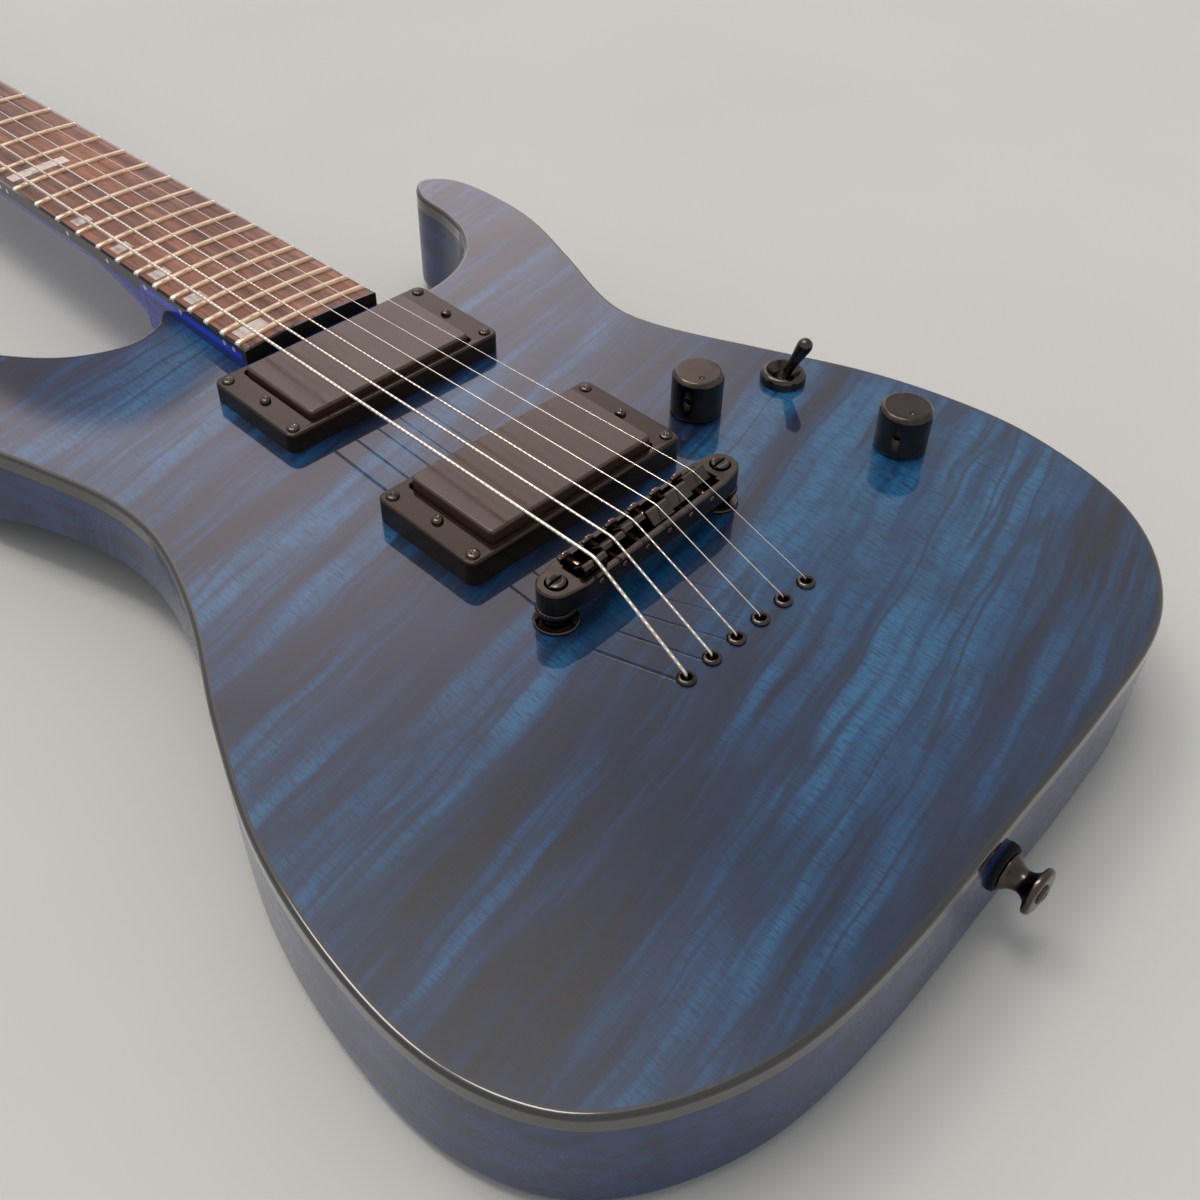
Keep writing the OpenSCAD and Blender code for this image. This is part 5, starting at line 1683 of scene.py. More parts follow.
@dataclass
class Bridge:
    """Bar, saddles with their screws, studs and bushings."""

    stud_gap: float = 73.2
    bar_rise: float = 14.5
    bar_h: float = 7.6
    bar_half: float = 6.85
    end_r: float = 5.8
    end_reach: float = 84.0
    shoulder_x: float = 31.0
    channel_half: float = 5.0
    channel_len: float = 60.5
    channel_floor: float = 8.9
    step_half: float = 3.2
    step_past: float = 0.9
    step_depth: float = 1.6
    bump_size: Flat = (4.6, 1.5)
    bump_at: Flat = (-2.4, -0.1)
    saddle_w: float = 9.3
    saddle_len: float = 5.0
    saddle_bevel: float = 0.25
    saddle_sharp: float = 25.0
    slopes: Flat = (0.9, 2.8)
    ridge_inset: float = 1.3
    ridge_half: float = 0.4
    screw_z: float = 11.4
    screw_r: float = 1.25
    thread_pitch: float = 0.5
    thread_count: int = 27
    bore_gap: float = 0.06
    stud_r: float = 4.0
    stud_depth: float = 18.0
    neck_r: float = 3.0
    wheel_r: float = 6.1
    wheel_low: float = 3.1
    sleeve: tuple[Flat, ...] = (
        (4.06, -21), (5.6, -21), (5.6, 0.02), (6.4, 0.02), (6.8, 0.3), (6.8, 0.75), (6.5, 1.1), (6.1, 1.12),
        (5.6, 0.8), (4.5, 0.7), (4.06, 0.4),
    )

    def bar_outline(self) -> list[Vector]:
        """Draws the bar's plan: a long middle with round ends.

        Returns:
            Points of the plan, clockwise.
        """
        end = Vector((self.stud_gap / 2, 0))
        half = [end + polar(self.end_r, a) for a in arc(self.end_reach, -self.end_reach, 24)]
        half += [Vector((s * self.shoulder_x, -self.bar_half)) for s in (1, -1)]
        return half + [-p for p in half]

    def screw_frame(self, i: int) -> Matrix:
        """Returns the frame of a saddle's screw, with Z along it."""
        return PLAN.bridge(PLAN.saddle_x(i), 0, self.screw_z) @ turn(-90, "X")

    def bore(self, shape: Shape, i: int) -> Shape:
        """Adds the bore of a saddle's screw to a shape."""
        r = self.screw_r + self.bore_gap
        return shape.lathe([(r, -9), (r, 9)], self.screw_frame(i), 24)

    def studs(self) -> list[Matrix]:
        """Returns the studs' frames on the top, the bass side first."""
        return [PLAN.bridge(s * self.stud_gap / 2) for s in (-1, 1)]

    def bar(self) -> None:
        """Builds the bar with bevelled edges, its channel, bores and wall bumps."""
        low, high = self.bar_rise - self.bar_h, self.bar_rise
        levels = [(0.4, low), (0.0, low + 0.4), (0.0, high - 0.55), (0.45, high)]
        bar = Shape().prism(self.bar_outline(), levels, PLAN.bridge()).build("bridge_beam")
        half, wide, r = self.channel_len / 2, self.channel_half, self.neck_r + self.bore_gap
        end = half + self.step_past
        step = (-end, -self.step_half, high - self.step_depth), (end, self.step_half, high + 1.2)
        carve(bar, Shape().box(*step, PLAN.bridge()))
        cuts = Shape().box((-half, -wide, self.channel_floor), (half, wide, high + 1), PLAN.bridge())
        for place in self.studs():
            cuts.lathe([(r, 0), (r, high - 0.5), (self.neck_r + 0.65, high + 0.2)], place)
        carve(bar, cuts)
        bores = Shape()
        for i in STRING_RANGE:
            self.bore(bores, i)
        carve(bar, bores)
        bump = Shape().prism(rounded_rect(*self.bump_size, 0.5, 4), rounded_levels(-0.4, 0.7, 0.0, 0.4, 3))
        x, y = self.bump_at
        wall = (self.bar_half + self.channel_half) / 2 + y
        places = [PLAN.bridge(PLAN.saddle_x(i) + x, wall, high) for i in STRING_RANGE]
        bumps = COPIES.spread("wall_bumps", bump.build("bump"), places)
        settle(joined("bridge_beam", bar, bumps), "bridge", "bridge_bar")

    def saddle(self, i: int) -> None:
        """Builds a saddle with a narrow flat ridge and a screw bore.

        Args:
            i: Number of the string.
        """
        low, high = self.channel_floor + 0.3, PLAN.saddle_rise
        back, front = -self.ridge_inset, self.saddle_len - self.ridge_inset
        section = [(back, low), (back, high - self.slopes[0]), (-self.ridge_half, high)]
        section += [(self.ridge_half, high), (front, high - self.slopes[1]), (front, low)]
        middle = Vector(((back + front) / 2, (low + high) / 2))
        half, bevel = self.saddle_w / 2, self.saddle_bevel
        rings = []
        for x, share in [(-half, bevel), (bevel - half, 0.0), (half - bevel, 0.0), (half, bevel)]:
            row = [Vector(p) + (middle - Vector(p)).normalized() * share for p in section]
            rings.append([Vector((x, *p)) for p in row])
        place = PLAN.bridge(PLAN.saddle_x(i), PLAN.saddle_offset[i]) @ turn(0 if i < 3 else 180, "Z")
        block = Shape().loft(rings, place).build(f"saddle_block_{i + 1}", sharp=self.saddle_sharp)
        carve(block, self.bore(Shape(), i), sharp=self.saddle_sharp)
        settle(block, f"saddle_{i + 1}", f"saddle_{i + 1}")

    def saddle_screw(self, i: int) -> None:
        """Builds a threaded saddle screw with a slotted head.

        Args:
            i: Number of the string.
        """
        r, end = self.screw_r, self.bar_half
        profile = [(0.0, -end), (r - 0.3, -end)]
        for z in (0.2 - end + self.thread_pitch * k for k in range(self.thread_count)):
            profile += [(r, z), (r - 0.22, z + self.thread_pitch / 2)]
        head = end + self.bore_gap
        profile += [(r, head), (2.2, head), (2.2, head + 1.0), (1.8, head + 1.45), (0.0, head + 1.5)]
        place = self.screw_frame(i)
        screw = Shape().lathe(profile, place, 20).build(f"saddle_bolt_{i + 1}", COPPERY)
        carve(screw, Shape().box((-3, -0.3, head + 0.85), (3, 0.3, head + 3), place))
        settle(screw, f"saddle_screw_{i + 1}", f"saddle_screw_{i + 1}")

    def stud(self, name: str, place: Matrix) -> None:
        """Builds a stud with a knurled wheel and a slotted head.

        Args:
            name: Name of its side.
            place: Its frame.
        """
        low, high, top = self.wheel_low, self.bar_rise - self.bar_h - 0.1, self.bar_rise + 1.1
        r, neck = self.wheel_r, self.neck_r
        profile = [
            (0.0, -self.stud_depth), (self.stud_r, -self.stud_depth), (self.stud_r, low), (r - 1.2, low),
            (r - 0.9, low + 0.3), (r - 0.9, high - 2.1), (r - 0.3, high - 1.85), (r, high - 1.5),
            (r, high - 0.5), (r - 0.3, high - 0.15), (r - 0.8, high), (neck, high), (neck, top - 0.7),
            (neck - 0.25, top - 0.25), (neck - 0.9, top - 0.02), (0.0, top),
        ]
        knurl = teeth(34, 0.28, high - 1.9, high - 0.2)
        stud = Shape().lathe(profile, place, 136, ripple=knurl).build(f"stud_{name}")
        carve(stud, Shape().box((-4, -0.5, self.bar_rise + 0.3), (4, 0.5, self.bar_rise + 3), place))
        settle(stud, f"stud_{name}", f"bridge_stud_{name}")

    def bushings(self) -> None:
        """Builds the flanged bushings that the studs screw into."""
        sleeve = Shape().lathe(self.sleeve, closed=True, count=64).build("sleeve")
        settle(COPIES.spread("stud_bushings", sleeve, self.studs()), "guitar", "bridge_bushings")

    def build(self) -> None:
        """Builds the bridge's pieces."""
        self.bar()
        for i in STRING_RANGE:
            self.saddle(i)
            self.saddle_screw(i)
        for name, place in zip(("bass", "treble"), self.studs()):
            self.stud(name, place)
        self.bushings()


# Pickups


@dataclass
class Pickup:
    """A pickup in its mounting ring."""

    name: str
    y: float
    ring_h: float
    cover_top: float
    cover: Flat = (68.0, 37.5)
    cover_h: float = 23.0
    ring_size: Flat = (90.0, 44.5)
    opening: Flat = (69.2, 38.7)
    opening_bevel: float = 0.35
    screw_half: Flat = (41.15, 18.3)
    screw: Flat = (2.2, 1.0)
    height_screw_x: float = 39.0
    height_screw: Flat = (1.9, 1.55)
    tab: Flat = (9.0, 12.0)
    tab_drop: float = 9.0

    def place(self) -> Matrix:
        """Returns the pickup's place on the top."""
        return move(0, self.y, PLAN.body_t)

    def coil_cover(self) -> None:
        """Builds the closed cover with its two mounting tabs."""
        levels = rounded_levels(self.cover_top - self.cover_h, self.cover_top, 0.6, 1.1, 5)
        shape = Shape().prism(rounded_rect(*self.cover, 2.0), levels, self.place())
        cover = shape.build(f"{self.name}_cover", SATIN)
        tab = Shape().prism(rounded_rect(*self.tab, 1.5, 4), [(0, -1.5), (0, 0)]).build("tab", INNER_STEEL)
        tabs = [self.place() @ move(s * (self.cover[0] / 2 + 4), 0, -self.tab_drop) for s in (-1, 1)]
        pair = COPIES.spread(f"{self.name}_tabs", tab, tabs)
        settle(joined(f"{self.name}_cover", cover, pair), self.name, self.name)

    def ring(self) -> Object:
        """Builds the mounting ring with its opening round the cover.

        Returns:
            The ring.
        """
        high, bevel = self.ring_h, self.opening_bevel
        levels = rounded_levels(0.02, high, 0.0, 0.9, 4)
        shape = Shape().prism(rounded_rect(*self.ring_size, 3.5), levels, self.place())
        piece = shape.build(f"{self.name}_ring", GLOSS)
        levels = [(0, -2), (0, high - bevel), (-bevel, high + 0.002), (-bevel, high + 2)]
        carve(piece, Shape().prism(rounded_rect(*self.opening, 1.6), levels, self.place()))
        return piece

    def screws(self) -> list[Matrix]:
        """Lists the heads of the ring's and the pickup's screws.

        Returns:
            Their places and sizes.
        """
        top = self.place() @ move(0, 0, self.ring_h)
        x, y = self.screw_half
        corners = [(sx * x, sy * y) for sx in (-1, 1) for sy in (-1, 1)]
        turned = [move(*p, 0) @ turn(20 + 35 * k, "Z") @ swell(*self.screw) for k, p in enumerate(corners)]
        for s in (-1, 1):
            spot = move(s * self.height_screw_x, 0, 0)
            turned.append(spot @ turn(50 * s, "Z") @ swell(*self.height_screw))
        return [top @ place for place in turned]


@dataclass
class PickupSet:
    """Both pickups with their rings."""

    pickups: tuple[Pickup, ...] = field(default_factory=lambda: (
        Pickup("bridge_pickup", PLAN.pickup_ys[0], 8.7, 12.6),
        Pickup("neck_pickup", PLAN.pickup_ys[1], 7.0, 9.5),
    ))

    def screws(self) -> list[Matrix]:
        """Returns the heads of all their screws."""
        return [place for pickup in self.pickups for place in pickup.screws()]

    def build(self) -> None:
        """Builds both pickups and their rings."""
        for pickup in self.pickups:
            pickup.coil_cover()
        rings = joined("mounting_rings", *(pickup.ring() for pickup in self.pickups))
        settle(rings, "guitar", "pickup_rings")


# Controls


@dataclass
class Controls:
    """Knobs, toggle switch, jack and the cover of their cavity."""

    knob_r: float = 8.75
    knob_h: float = 15.4
    knob_lift: float = 0.5
    knobs: tuple[tuple[str, float, float], ...] = (("volume", 68.0, 34.0), ("tone", 102.0, -26.0))
    dimple: tuple[Flat, ...] = ((0, -0.5), (1.0, -0.35), (1.0, 1.0), (0, 1.0))
    dimple_at: Flat = (-2.6, -3.6)
    set_screw: Spot = (1.4, 200.0, 8.0)
    shaft_low: float = 25.5
    shaft_top: float = 5.6
    shaft_r: float = 3.0
    toggle_at: Flat = (103.5, 25.0)
    toggle_lean: float = 23.0
    toggle_turn: float = -83.0
    pivot_z: float = 45.5
    lever_len: float = 17.5
    ball_r: float = 3.0
    tip_r: float = 2.7
    lever: tuple[Flat, ...] = ((1.75, 3.6), (1.65, 5.0), (1.8, 8.0), (2.2, 12.5), (2.6, 16.0))
    nut: tuple[Flat, ...] = (
        (6.0, -14), (6.0, 0.02), (7.7, 0.02), (8.0, 0.35), (8.0, 0.6), (8.0, 2.5), (7.9, 2.8), (7.2, 3.7),
        (6.8, 4.0), (6.0, 4.0), (5.2, 3.0), (3.7, 1.2), (3.6, -14),
    )
    case: tuple[Spot, Spot] = ((-7, -5, 13), (7, 5, 30.9))
    jack_plate: Flat = (46.0, 24.0)
    plate_t: float = 1.95
    plate_out: float = 2.0
    plate_screw_y: float = 17.0
    cover_t: float = 2.5
    cover_ledge: float = 4.0
    screw_share: float = 0.44
    screw_sink: float = 0.9
    cover_screws: tuple[int, ...] = (0, 2, 5, 7, 8)
    cover_screw: Flat = (1.4, 0.85)
    plate_screw: Flat = (2.4, 1.0)
    jack_r: float = 4.75

    def knob(self, name: str, x: float, y: float) -> None:
        """Builds a knob with a fine knurl, a bevelled top, a dimple and a set-screw hole.

        Args:
            name: Name of the knob's body.
            x: Place of its axis across the body.
            y: Place of its axis along the body.
        """
        r, h = self.knob_r, self.knob_h
        profile = [
            (6.0, 5.5), (6.8, 5.5), (6.8, 0.0), (r - 0.4, 0.0), (r, 0.4), (r, 0.9), (r, 1.2), (r, h - 2.2),
            (r, h - 1.9), (r, h - 1.4), (r - 0.25, h - 0.95), (r - 1.0, h - 0.15), (r - 1.4, h), (r - 1.6, h),
        ]
        place = move(x, y, PLAN.body_t + self.knob_lift)
        knurl = teeth(72, 0.11, 1.0, h - 2.0)
        grip = Shape().lathe(profile, place, 216, ripple=knurl).build(f"{name}_grip")
        dots = Shape().lathe(self.dimple, place @ move(*self.dimple_at, h), 24)
        bore, angle, z = self.set_screw
        sideways = place @ turn(angle, "Z") @ move(0, 0, z) @ turn(90, "Y")
        carve(grip, dots.lathe([(bore, 6.4), (bore, r + 2)], sideways, 24))
        low, top = self.shaft_low - PLAN.body_t - self.knob_lift, self.shaft_top
        rod = [(0, low), (self.shaft_r, low), (self.shaft_r, top), (0, top)]
        shaft = Shape().lathe(rod, place).build(f"{name}_shaft", INNER_STEEL)
        settle(joined(f"{name}_grip", grip, shaft), name, f"{name}_knob")

    def toggle(self) -> None:
        """Builds the switch's dress nut, its case and its bat lever."""
        x, y = self.toggle_at
        rim = move(x, y, PLAN.body_t)
        shape = Shape().lathe(self.nut, rim, 180, closed=True, ripple=teeth(60, 0.12, 0.5, 2.6))
        nut = shape.build("switch_nut")
        upright = move(x, y, 0) @ turn(self.toggle_turn, "Z")
        case = Shape().box(*self.case, upright).build("switch_case", SATIN)
        soften(case, 0.6)
        settle(joined("switch_nut", nut, case), "guitar", "toggle_switch")
        tip = Vector((0, self.lever_len))
        bat = [(0.0, -self.ball_r), *(polar(self.ball_r, a) for a in arc(-90, 28, 8)[1:]), *self.lever]
        bat += [*(tip + polar(self.tip_r, a) for a in arc(0, 90, 8)[:-1]), (0.0, self.lever_len + self.tip_r)]
        lean = move(x, y, self.pivot_z) @ turn(self.toggle_turn, "Z") @ turn(self.toggle_lean, "Y")
        settle(Shape().lathe(bat, lean, 36).build("bat_lever"), "toggle", "toggle_lever")

    def rim(self, share: float) -> list[Vector]:
        """Returns the cavity's outline moved outwards by a share of the cover's ledge."""
        return inset([Vector(p) for p in PLAN.cavity], -self.cover_ledge * share)

    def cover_spots(self) -> list[Flat]:
        """Returns the places of the cover's screws on its ledge."""
        rim = self.rim(self.screw_share)
        return [tuple(rim[i]) for i in self.cover_screws]

    def back_cover(self) -> None:
        """Builds the cavity's cover, flush in the back."""
        levels = [(0.4, 0.0), (0.0, 0.4), (0.0, self.cover_t)]
        cover = Shape().prism(self.rim(1.0), levels).build("back_cover", SATIN)
        holes = Shape()
        for spot in self.cover_spots():
            holes.lathe([(1.5, -1), (1.45, self.screw_sink)], move(*spot, 0), 32)
        carve(cover, holes)
        settle(cover, "guitar", "cavity_cover")

    def side_plate(self) -> None:
        """Builds the jack's plate in the body's side."""
        x, y, z = PLAN.jack_at
        place = move(x + self.plate_out - self.plate_t, y, z) @ turn(90, "Y") @ turn(90, "Z")
        levels = rounded_levels(0, self.plate_t, 0.0, 0.5, 3)
        plate = Shape().prism(rounded_rect(*self.jack_plate, 11.9), levels, place).build("side_plate")
        carve(plate, Shape().lathe([(self.jack_r, -1), (self.jack_r, 4)], place))
        settle(plate, "guitar", "jack_plate")

    def screws(self) -> list[Matrix]:
        """Lists the heads of the cover's and the plate's screws.

        Returns:
            Their places and sizes.
        """
        places = []
        for k, spot in enumerate(self.cover_spots()):
            place = move(*spot, self.screw_sink) @ turn(180, "X")
            places.append(place @ turn(31 * k, "Z") @ swell(*self.cover_screw))
        x, y, z = PLAN.jack_at
        for s in (-1, 1):
            spot = move(x + self.plate_out, y + self.plate_screw_y * s, z)
            places.append(spot @ turn(90, "Y") @ turn(25 * s, "Z") @ swell(*self.plate_screw))
        return places

    def build(self) -> None:
        """Builds the controls."""
        for row in self.knobs:
            self.knob(*row)
        self.toggle()
        self.back_cover()
        self.side_plate()


# Strap buttons


def fuzz(angle: float, z: float) -> float:
    """Returns the uneven rim of pressed felt."""
    return 0.12 * math.sin(7 * angle + 2 * z) + 0.08 * math.sin(19 * angle - 3 * z)


@dataclass
class StrapHolders:
    """Strap buttons on felt washers."""

    places: tuple[Spot, ...] = ((-2.0, -136.6, 180.0), (-112.0, 271.0, 8.0))
    z: float = 24.0
    button_rise: float = 2.6
    screw_rise: float = 13.0
    screw: Flat = (3.0, 1.0)
    button: tuple[Flat, ...] = (
        (1.85, 0.0), (5.3, 0.0), (5.6, 0.3), (5.6, 0.8), (5.0, 1.4), (4.2, 2.3), (3.6, 3.5), (3.35, 4.8),
        (3.6, 6.0), (4.3, 7.1), (5.4, 7.9), (6.7, 8.3), (7.0, 8.6), (7.0, 9.5), (6.6, 10.1), (5.9, 10.4),
        (1.85, 10.4),
    )
    washer: tuple[Flat, ...] = (
        (1.9, -1.2), (7.0, -1.2), (7.1, 0.0), (7.15, 1.2), (7.0, 2.2), (6.5, 2.5), (1.9, 2.5),
    )

    def frames(self, rise: float = 0.0) -> list[Matrix]:
        """Returns frames at a rise from the body's edge, with Z out of it."""
        out = turn(-90, "X") @ move(0, 0, rise)
        return [move(x, y, self.z) @ turn(angle, "Z") @ out for x, y, angle in self.places]

    def screws(self) -> list[Matrix]:
        """Returns the heads of the buttons' screws."""
        return [place @ swell(*self.screw) for place in self.frames(self.screw_rise)]

    def build(self) -> None:
        """Builds the buttons and felts."""
        button = Shape().lathe(self.button, closed=True).build("strap_button", sharp=50)
        settle(COPIES.spread("strap_pegs", button, self.frames(self.button_rise)), "guitar", "strap_buttons")
        felt = Shape().lathe(self.washer, closed=True, count=72, ripple=fuzz).build("washer", FELT, 60)
        settle(COPIES.spread("felt_washers", felt, self.frames()), "guitar", "strap_felts")


# Tuners


@dataclass
class Tuners:
    """Tuner housings, bushings, posts and buttons."""

    housing: Spot = (16.0, 19.4, 5.0)
    housing_y: float = 2.7
    housing_h: float = 9.0
    ear: Spot = (7.0, 8.0, 3.0)
    ear_y: float = -9.2
    gap: float = 0.02
    worm_offset: float = 8.3
    shaft_drop: float = 4.0
    post_rise: float = 16.0
    gear_r: float = 6.0
    hole: Flat = (0.9, 11.0)
    button_start: float = 20.5
    button_size: Spot = (13.0, 15.0, 6.0)
    button_half: float = 3.2
    button_round: float = 1.9
    ear_t: float = 2.05
    screw_y: float = -9.6
    screw: Flat = (1.9, 0.9)
    collar: tuple[Flat, ...] = ((1.86, 6.0), (3.4, 6.0), (3.4, 12.2), (3.0, 13.0), (1.86, 13.0))
    washer: tuple[Flat, ...] = ((3.06, 0.02), (6.9, 0.02), (7.0, 0.3), (6.8, 0.8), (3.06, 0.8))
    nut_r: float = 6.4
    nut: tuple[Flat, ...] = ((0, 0.75), (0, 2.3), (0.5, 2.8))
    nut_bore: float = 3.08

    def worm(self, i: int) -> Matrix:
        """Returns the frame of a tuner's worm shaft, turned as the headstock is."""
        return PLAN.post_frame(i) @ move(0, self.worm_offset, -PLAN.head_t - self.shaft_drop - self.gap)

    def housings(self) -> None:
        """Builds the cast housings behind the headstock."""
        rows = []
        for i in STRING_RANGE:
            place = PLAN.post_frame(i) @ move(0, 0, -PLAN.head_t - self.gap)
            levels = rounded_levels(-self.housing_h, 0, 2.0, 0.3, 5)
            cast = Shape().prism(rounded_rect(*self.housing, y=self.housing_y), levels, place)
            cast.prism(rounded_rect(*self.ear, y=self.ear_y), rounded_levels(-2.0, 0, 0.6, 0.1, 3), place)
            cast.lathe(self.collar, self.worm(i) @ turn(PLAN.post_side(i) * 90, "Y"), 32, closed=True)
            rows.append(cast.build(f"housing_{i + 1}"))
        settle(joined("tuner_casings", *rows), "guitar", "tuner_housings")

    def bushings(self) -> None:
        """Builds the washers and hexagon nuts on the headstock's face."""
        hexagon = [polar(self.nut_r, a) for a in arc(0, -300, 5)]
        nut = Shape().prism(hexagon, self.nut).build("post_nut")
        carve(nut, Shape().lathe([(self.nut_bore, -1), (self.nut_bore, 5)]))
        piece = joined("post_nut", nut, Shape().lathe(self.washer, closed=True).build("washer"))
        places = [PLAN.post_frame(i) for i in STRING_RANGE]
        settle(COPIES.spread("post_nuts", piece, places), "guitar", "tuner_bushings")

    def post(self, i: int) -> None:
        """Builds a post with a waist for the string, a cross hole and its gear.

        Args:
            i: Number of the string.
        """
        low = -PLAN.head_t - self.shaft_drop - 1.5
        r, top = PLAN.post_r, self.post_rise
        profile = [
            (0.0, low), (self.gear_r, low), (self.gear_r, low + 3.0), (r, low + 3.0), (r, 3.4),
            (r - 0.1, 3.9), (r - 0.15, 10.8), (r, 11.6), (r, top - 0.8), (r - 0.5, top - 0.1),
            (r - 0.8, top), (1.2, top), (1.1, top - 0.9), (0.0, top - 1.0),
        ]
        place = PLAN.post_frame(i)
        piece = Shape().lathe(profile, place, 40).build(f"string_post_{i + 1}")
        radius, z = self.hole
        carve(piece, Shape().lathe([(radius, -5), (radius, 5)], place @ move(0, 0, z) @ turn(90, "Y"), 20))
        settle(piece, f"tuner_post_{i + 1}", f"tuner_post_{i + 1}")

    def button(self, i: int) -> None:
        """Builds a button on its worm shaft.

        Args:
            i: Number of the string.
        """
        side, end = PLAN.post_side(i), self.button_start
        shaft = [
            (0.0, -6.8), (2.0, -6.8), (2.0, 6.8), (1.8, 6.9), (1.8, end - 1.6), (2.6, end - 1.2),
            (3.0, end + 0.6), (0.0, end + 1.0),
        ]
        piece = Shape().lathe(shaft, self.worm(i) @ turn(side * 90, "Y"), 32)
        middle = self.worm(i) @ move(side * (end + self.button_size[0] / 2), 0, 0)
        half, rim = self.button_half, self.button_round
        piece.prism(rounded_rect(*self.button_size), rounded_levels(-half, half, rim, rim, 6), middle)
        key = piece.build(f"tuner_key_{i + 1}", sharp=45)
        settle(key, f"tuner_button_{i + 1}", f"tuner_button_{i + 1}")

    def screws(self) -> list[Matrix]:
        """Returns the heads of the housings' screws."""
        low = move(0, self.screw_y, -PLAN.head_t - self.ear_t) @ turn(180, "X")
        return [PLAN.post_frame(i) @ low @ turn(40 * i, "Z") @ swell(*self.screw) for i in STRING_RANGE]

    def build(self) -> None:
        """Builds the tuners."""
        self.housings()
        self.bushings()
        for i in STRING_RANGE:
            self.post(i)
            self.button(i)


# Screws


@dataclass
class ScrewSet:
    """Every cross-headed screw on the guitar."""

    places: Sequence[Matrix]
    slot: tuple[Flat, ...] = ((-0.22, -0.1), (-0.22, 0.1), (0.22, 0.1), (0.22, -0.1))
    slot_ends: Flat = (0.25, 1.2)
    mouth: Flat = (2.7, 1.5)

    def head(self) -> Object:
        """Builds a head one millimetre in radius and in height, with a cross cut into it.

        Returns:
            The head.
        """
        profile = [(0.0, -0.3), (0.9, -0.3), (1.0, 0.0), (1.0, 0.12)]
        profile += [(math.cos(a) * 0.98, 0.2 + 0.8 * math.sin(a) ** 0.75) for a in arc(0, 90, 7)[1:-1]]
        head = Shape().lathe([*profile, (0.0, 1.0)], count=32).build("screw_head", sharp=45)
        low, high = self.slot_ends
        wide, thick = self.mouth
        rings = [[Vector((x, y, low)) for x, y in self.slot]]
        rings.append([Vector((x * wide, y * thick, high)) for x, y in self.slot])
        for angle in (0, 90):
            carve(head, Shape().loft(rings, turn(angle, "Z")), sharp=45)
        return head

    def build(self) -> None:
        """Sets a head at every screw's place."""
        settle(COPIES.spread("screw_heads", self.head(), self.places), "guitar", "screws")


# Solids that keep their own shape


BOARD_EDGE = StainedBinding(
    "board_binding", Slot.BINDING, smooth=0.05, rough=0.10, coat=0.2, grit=0.001, specular=0.3,
    line=(PLAN.body_t + PLAN.board_rise - PLAN.edge_t) * MM,
    slope=math.tan(math.radians(PLAN.neck_angle)),
    reach=(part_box("fingerboard_binding")[0][1] + PLAN.edge_t * MM, PLAN.heel_ys[1] * MM),
)
KEPT_FINISHES: dict[str, Finish] = {
    "fingerboard": ROSEWOOD,
    "fingerboard_binding": BOARD_EDGE,
    "position_markers": PEARL,
    "nut": SATIN,
    "truss_rod": INNER_STEEL,
    "pickup_springs": INNER_STEEL,
    "pots": INNER_STEEL,
    "output_jack": INNER_STEEL,
    "battery": SATIN,
    "wiring": WIRE,
}


def dress_kept_solids() -> None:
    """Gives each solid that stays in view its finish."""
    for node, finish in KEPT_FINISHES.items():
        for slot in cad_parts[node].material_slots:
            slot.material = finish.material()
        LOG.info("%s keeps its solid", node)


# Studio


@dataclass(frozen=True)
class Patch:
    """A patch of the surround, with the angles where it is full and where it ends."""

    way: Spot
    colour: Colour
    full: float
    none: float


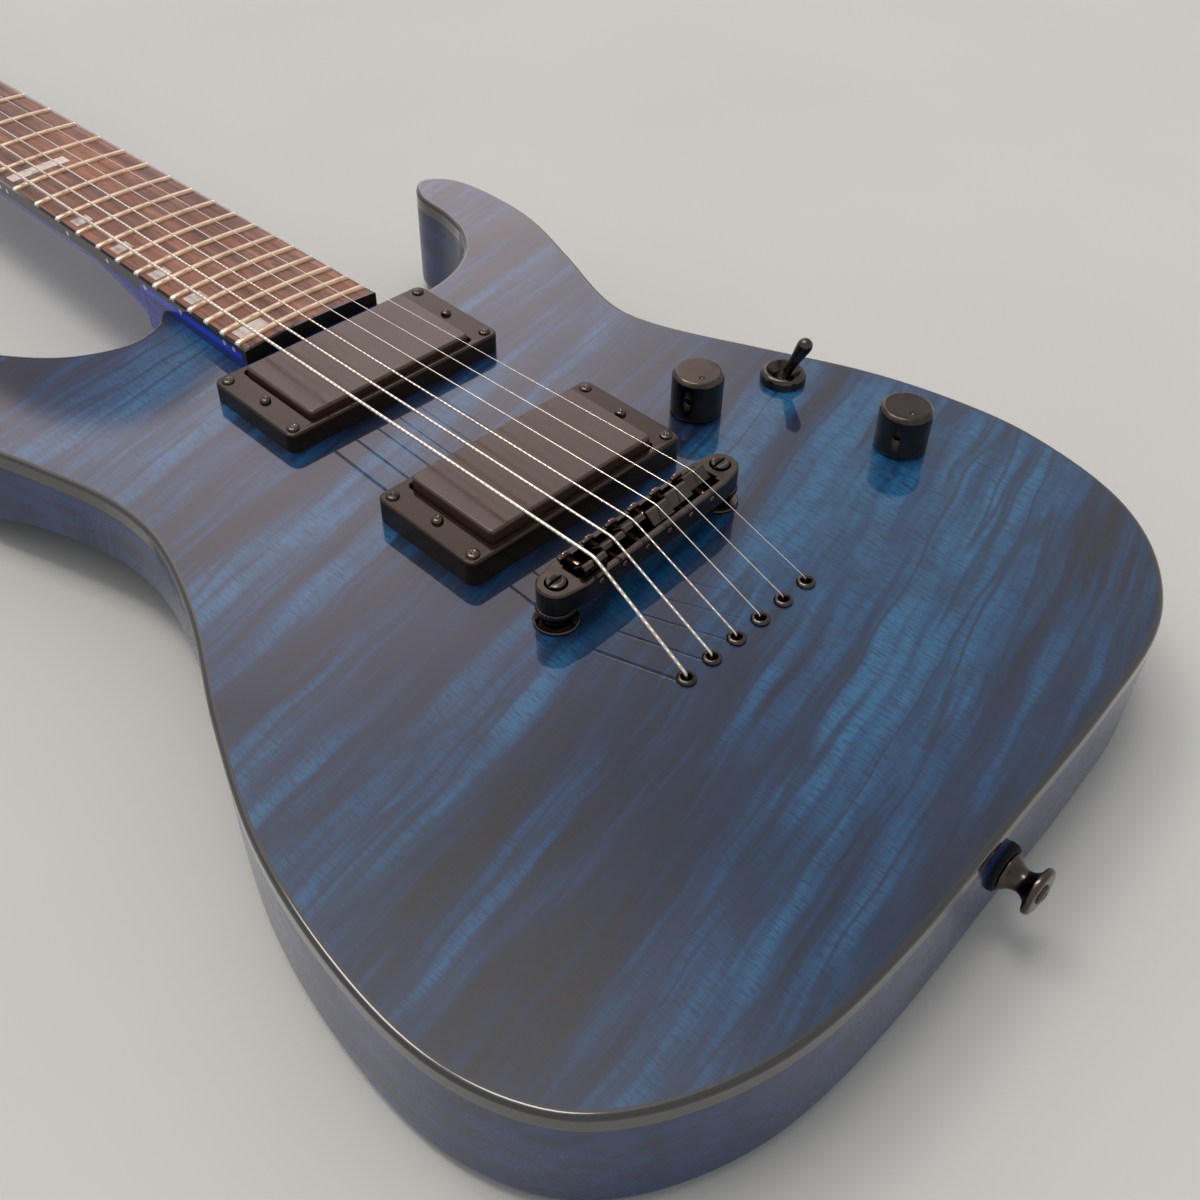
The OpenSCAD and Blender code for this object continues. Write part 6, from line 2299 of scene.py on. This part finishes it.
@dataclass
class Studio:
    """Floor, light and camera."""

    camera_at: Spot = (-226.911, -205.52, 316.18)
    azimuth: float = -46.275
    elevation: float = 43.688
    roll: float = 1.507
    lens: float = 40.725
    sensor: float = 36.0
    floor_size: float = 12.0
    floor_drop: float = 0.0005
    dim: Colour = (0.60, 0.60, 0.62)
    patches: tuple[Patch, ...] = (
        Patch((0.43, 0.75, 0.50), (2.00, 1.72, 1.72), 6.0, 25.0),
        Patch((-0.10, 0.30, 0.94), (1.40, 1.34, 1.30), 20.0, 37.0),
        Patch((0.342, 0.81, 0.477), (0.15, 0.16, 0.26), 5.2, 6.6),
        Patch((-0.12, 0.45, 0.88), (12.0, 11.2, 10.6), 6.0, 11.0),
        Patch((-0.03, 0.15, 0.99), (12.0, 11.2, 10.6), 6.0, 11.0),
    )

    def floor(self) -> None:
        """Builds a plain pale floor."""
        half = self.floor_size / 2
        mesh = bpy.data.meshes.new("floor")
        corners = [(-half, -half), (half, -half), (half, half), (-half, half)]
        mesh.from_pydata([(x, y, -self.floor_drop) for x, y in corners], [], [(0, 1, 2, 3)])
        mesh.materials.append(FLOOR_PAINT.material())
        add_object("floor", mesh)

    def light(self) -> None:
        """Lights the scene from soft patches in a dim surround."""
        world = bpy.data.worlds.new("studio")
        bpy.context.scene.world = world
        world.use_nodes = True
        kit = NodeKit(world.node_tree)
        where = kit.add("ShaderNodeTexCoord").outputs["Generated"]
        colour: object = self.dim
        for patch in self.patches:
            ways = {0: where, 1: tuple(Vector(patch.way).normalized())}
            facing = kit.add("ShaderNodeVectorMath", ways, operation="DOT_PRODUCT").outputs["Value"]
            ends = [math.cos(math.radians(angle)) for angle in (patch.none, patch.full)]
            colour = kit.mix(kit.spread(facing, *ends, 0.0, 1.0), colour, patch.colour)
        kit.feed(world.node_tree.nodes["Background"], {"Color": colour})

    def camera(self) -> None:
        """Sets the camera where the picture was taken."""
        data = bpy.data.cameras.new("camera")
        data.lens = self.lens
        data.sensor_width = self.sensor
        data.clip_start = 0.01
        a, e = math.radians(self.azimuth), math.radians(self.elevation)
        back = Vector((math.sin(a) * math.cos(e), -math.cos(a) * math.cos(e), math.sin(e)))
        right = (-back).cross(Vector((0, 0, 1))).normalized()
        turned = Matrix((right, back.cross(right), back)).transposed().to_4x4()
        obj = add_object("camera", data)
        obj.matrix_world = Matrix.Translation(Vector(self.camera_at) * MM) @ turned @ turn(self.roll, "Z")
        bpy.context.scene.camera = obj

    def build(self) -> None:
        """Builds the studio."""
        bpy.context.scene.view_settings.view_transform = "Standard"
        self.floor()
        self.light()
        self.camera()


def main() -> None:
    """Builds the studio and the guitar's sub-assemblies in order."""
    logging.basicConfig(level=logging.INFO, format="%(message)s")
    Studio().build()
    dress_kept_solids()
    neck, pickups, controls, straps, tuners = Neck(), PickupSet(), Controls(), StrapHolders(), Tuners()
    for part in (Body(), neck, StringSet(), Bridge(), pickups, controls, straps, tuners):
        part.build()
    screwed = (pickups, controls, straps, tuners, neck)
    ScrewSet([place for part in screwed for place in part.screws()]).build()


if __name__ == "__main__":
    main()
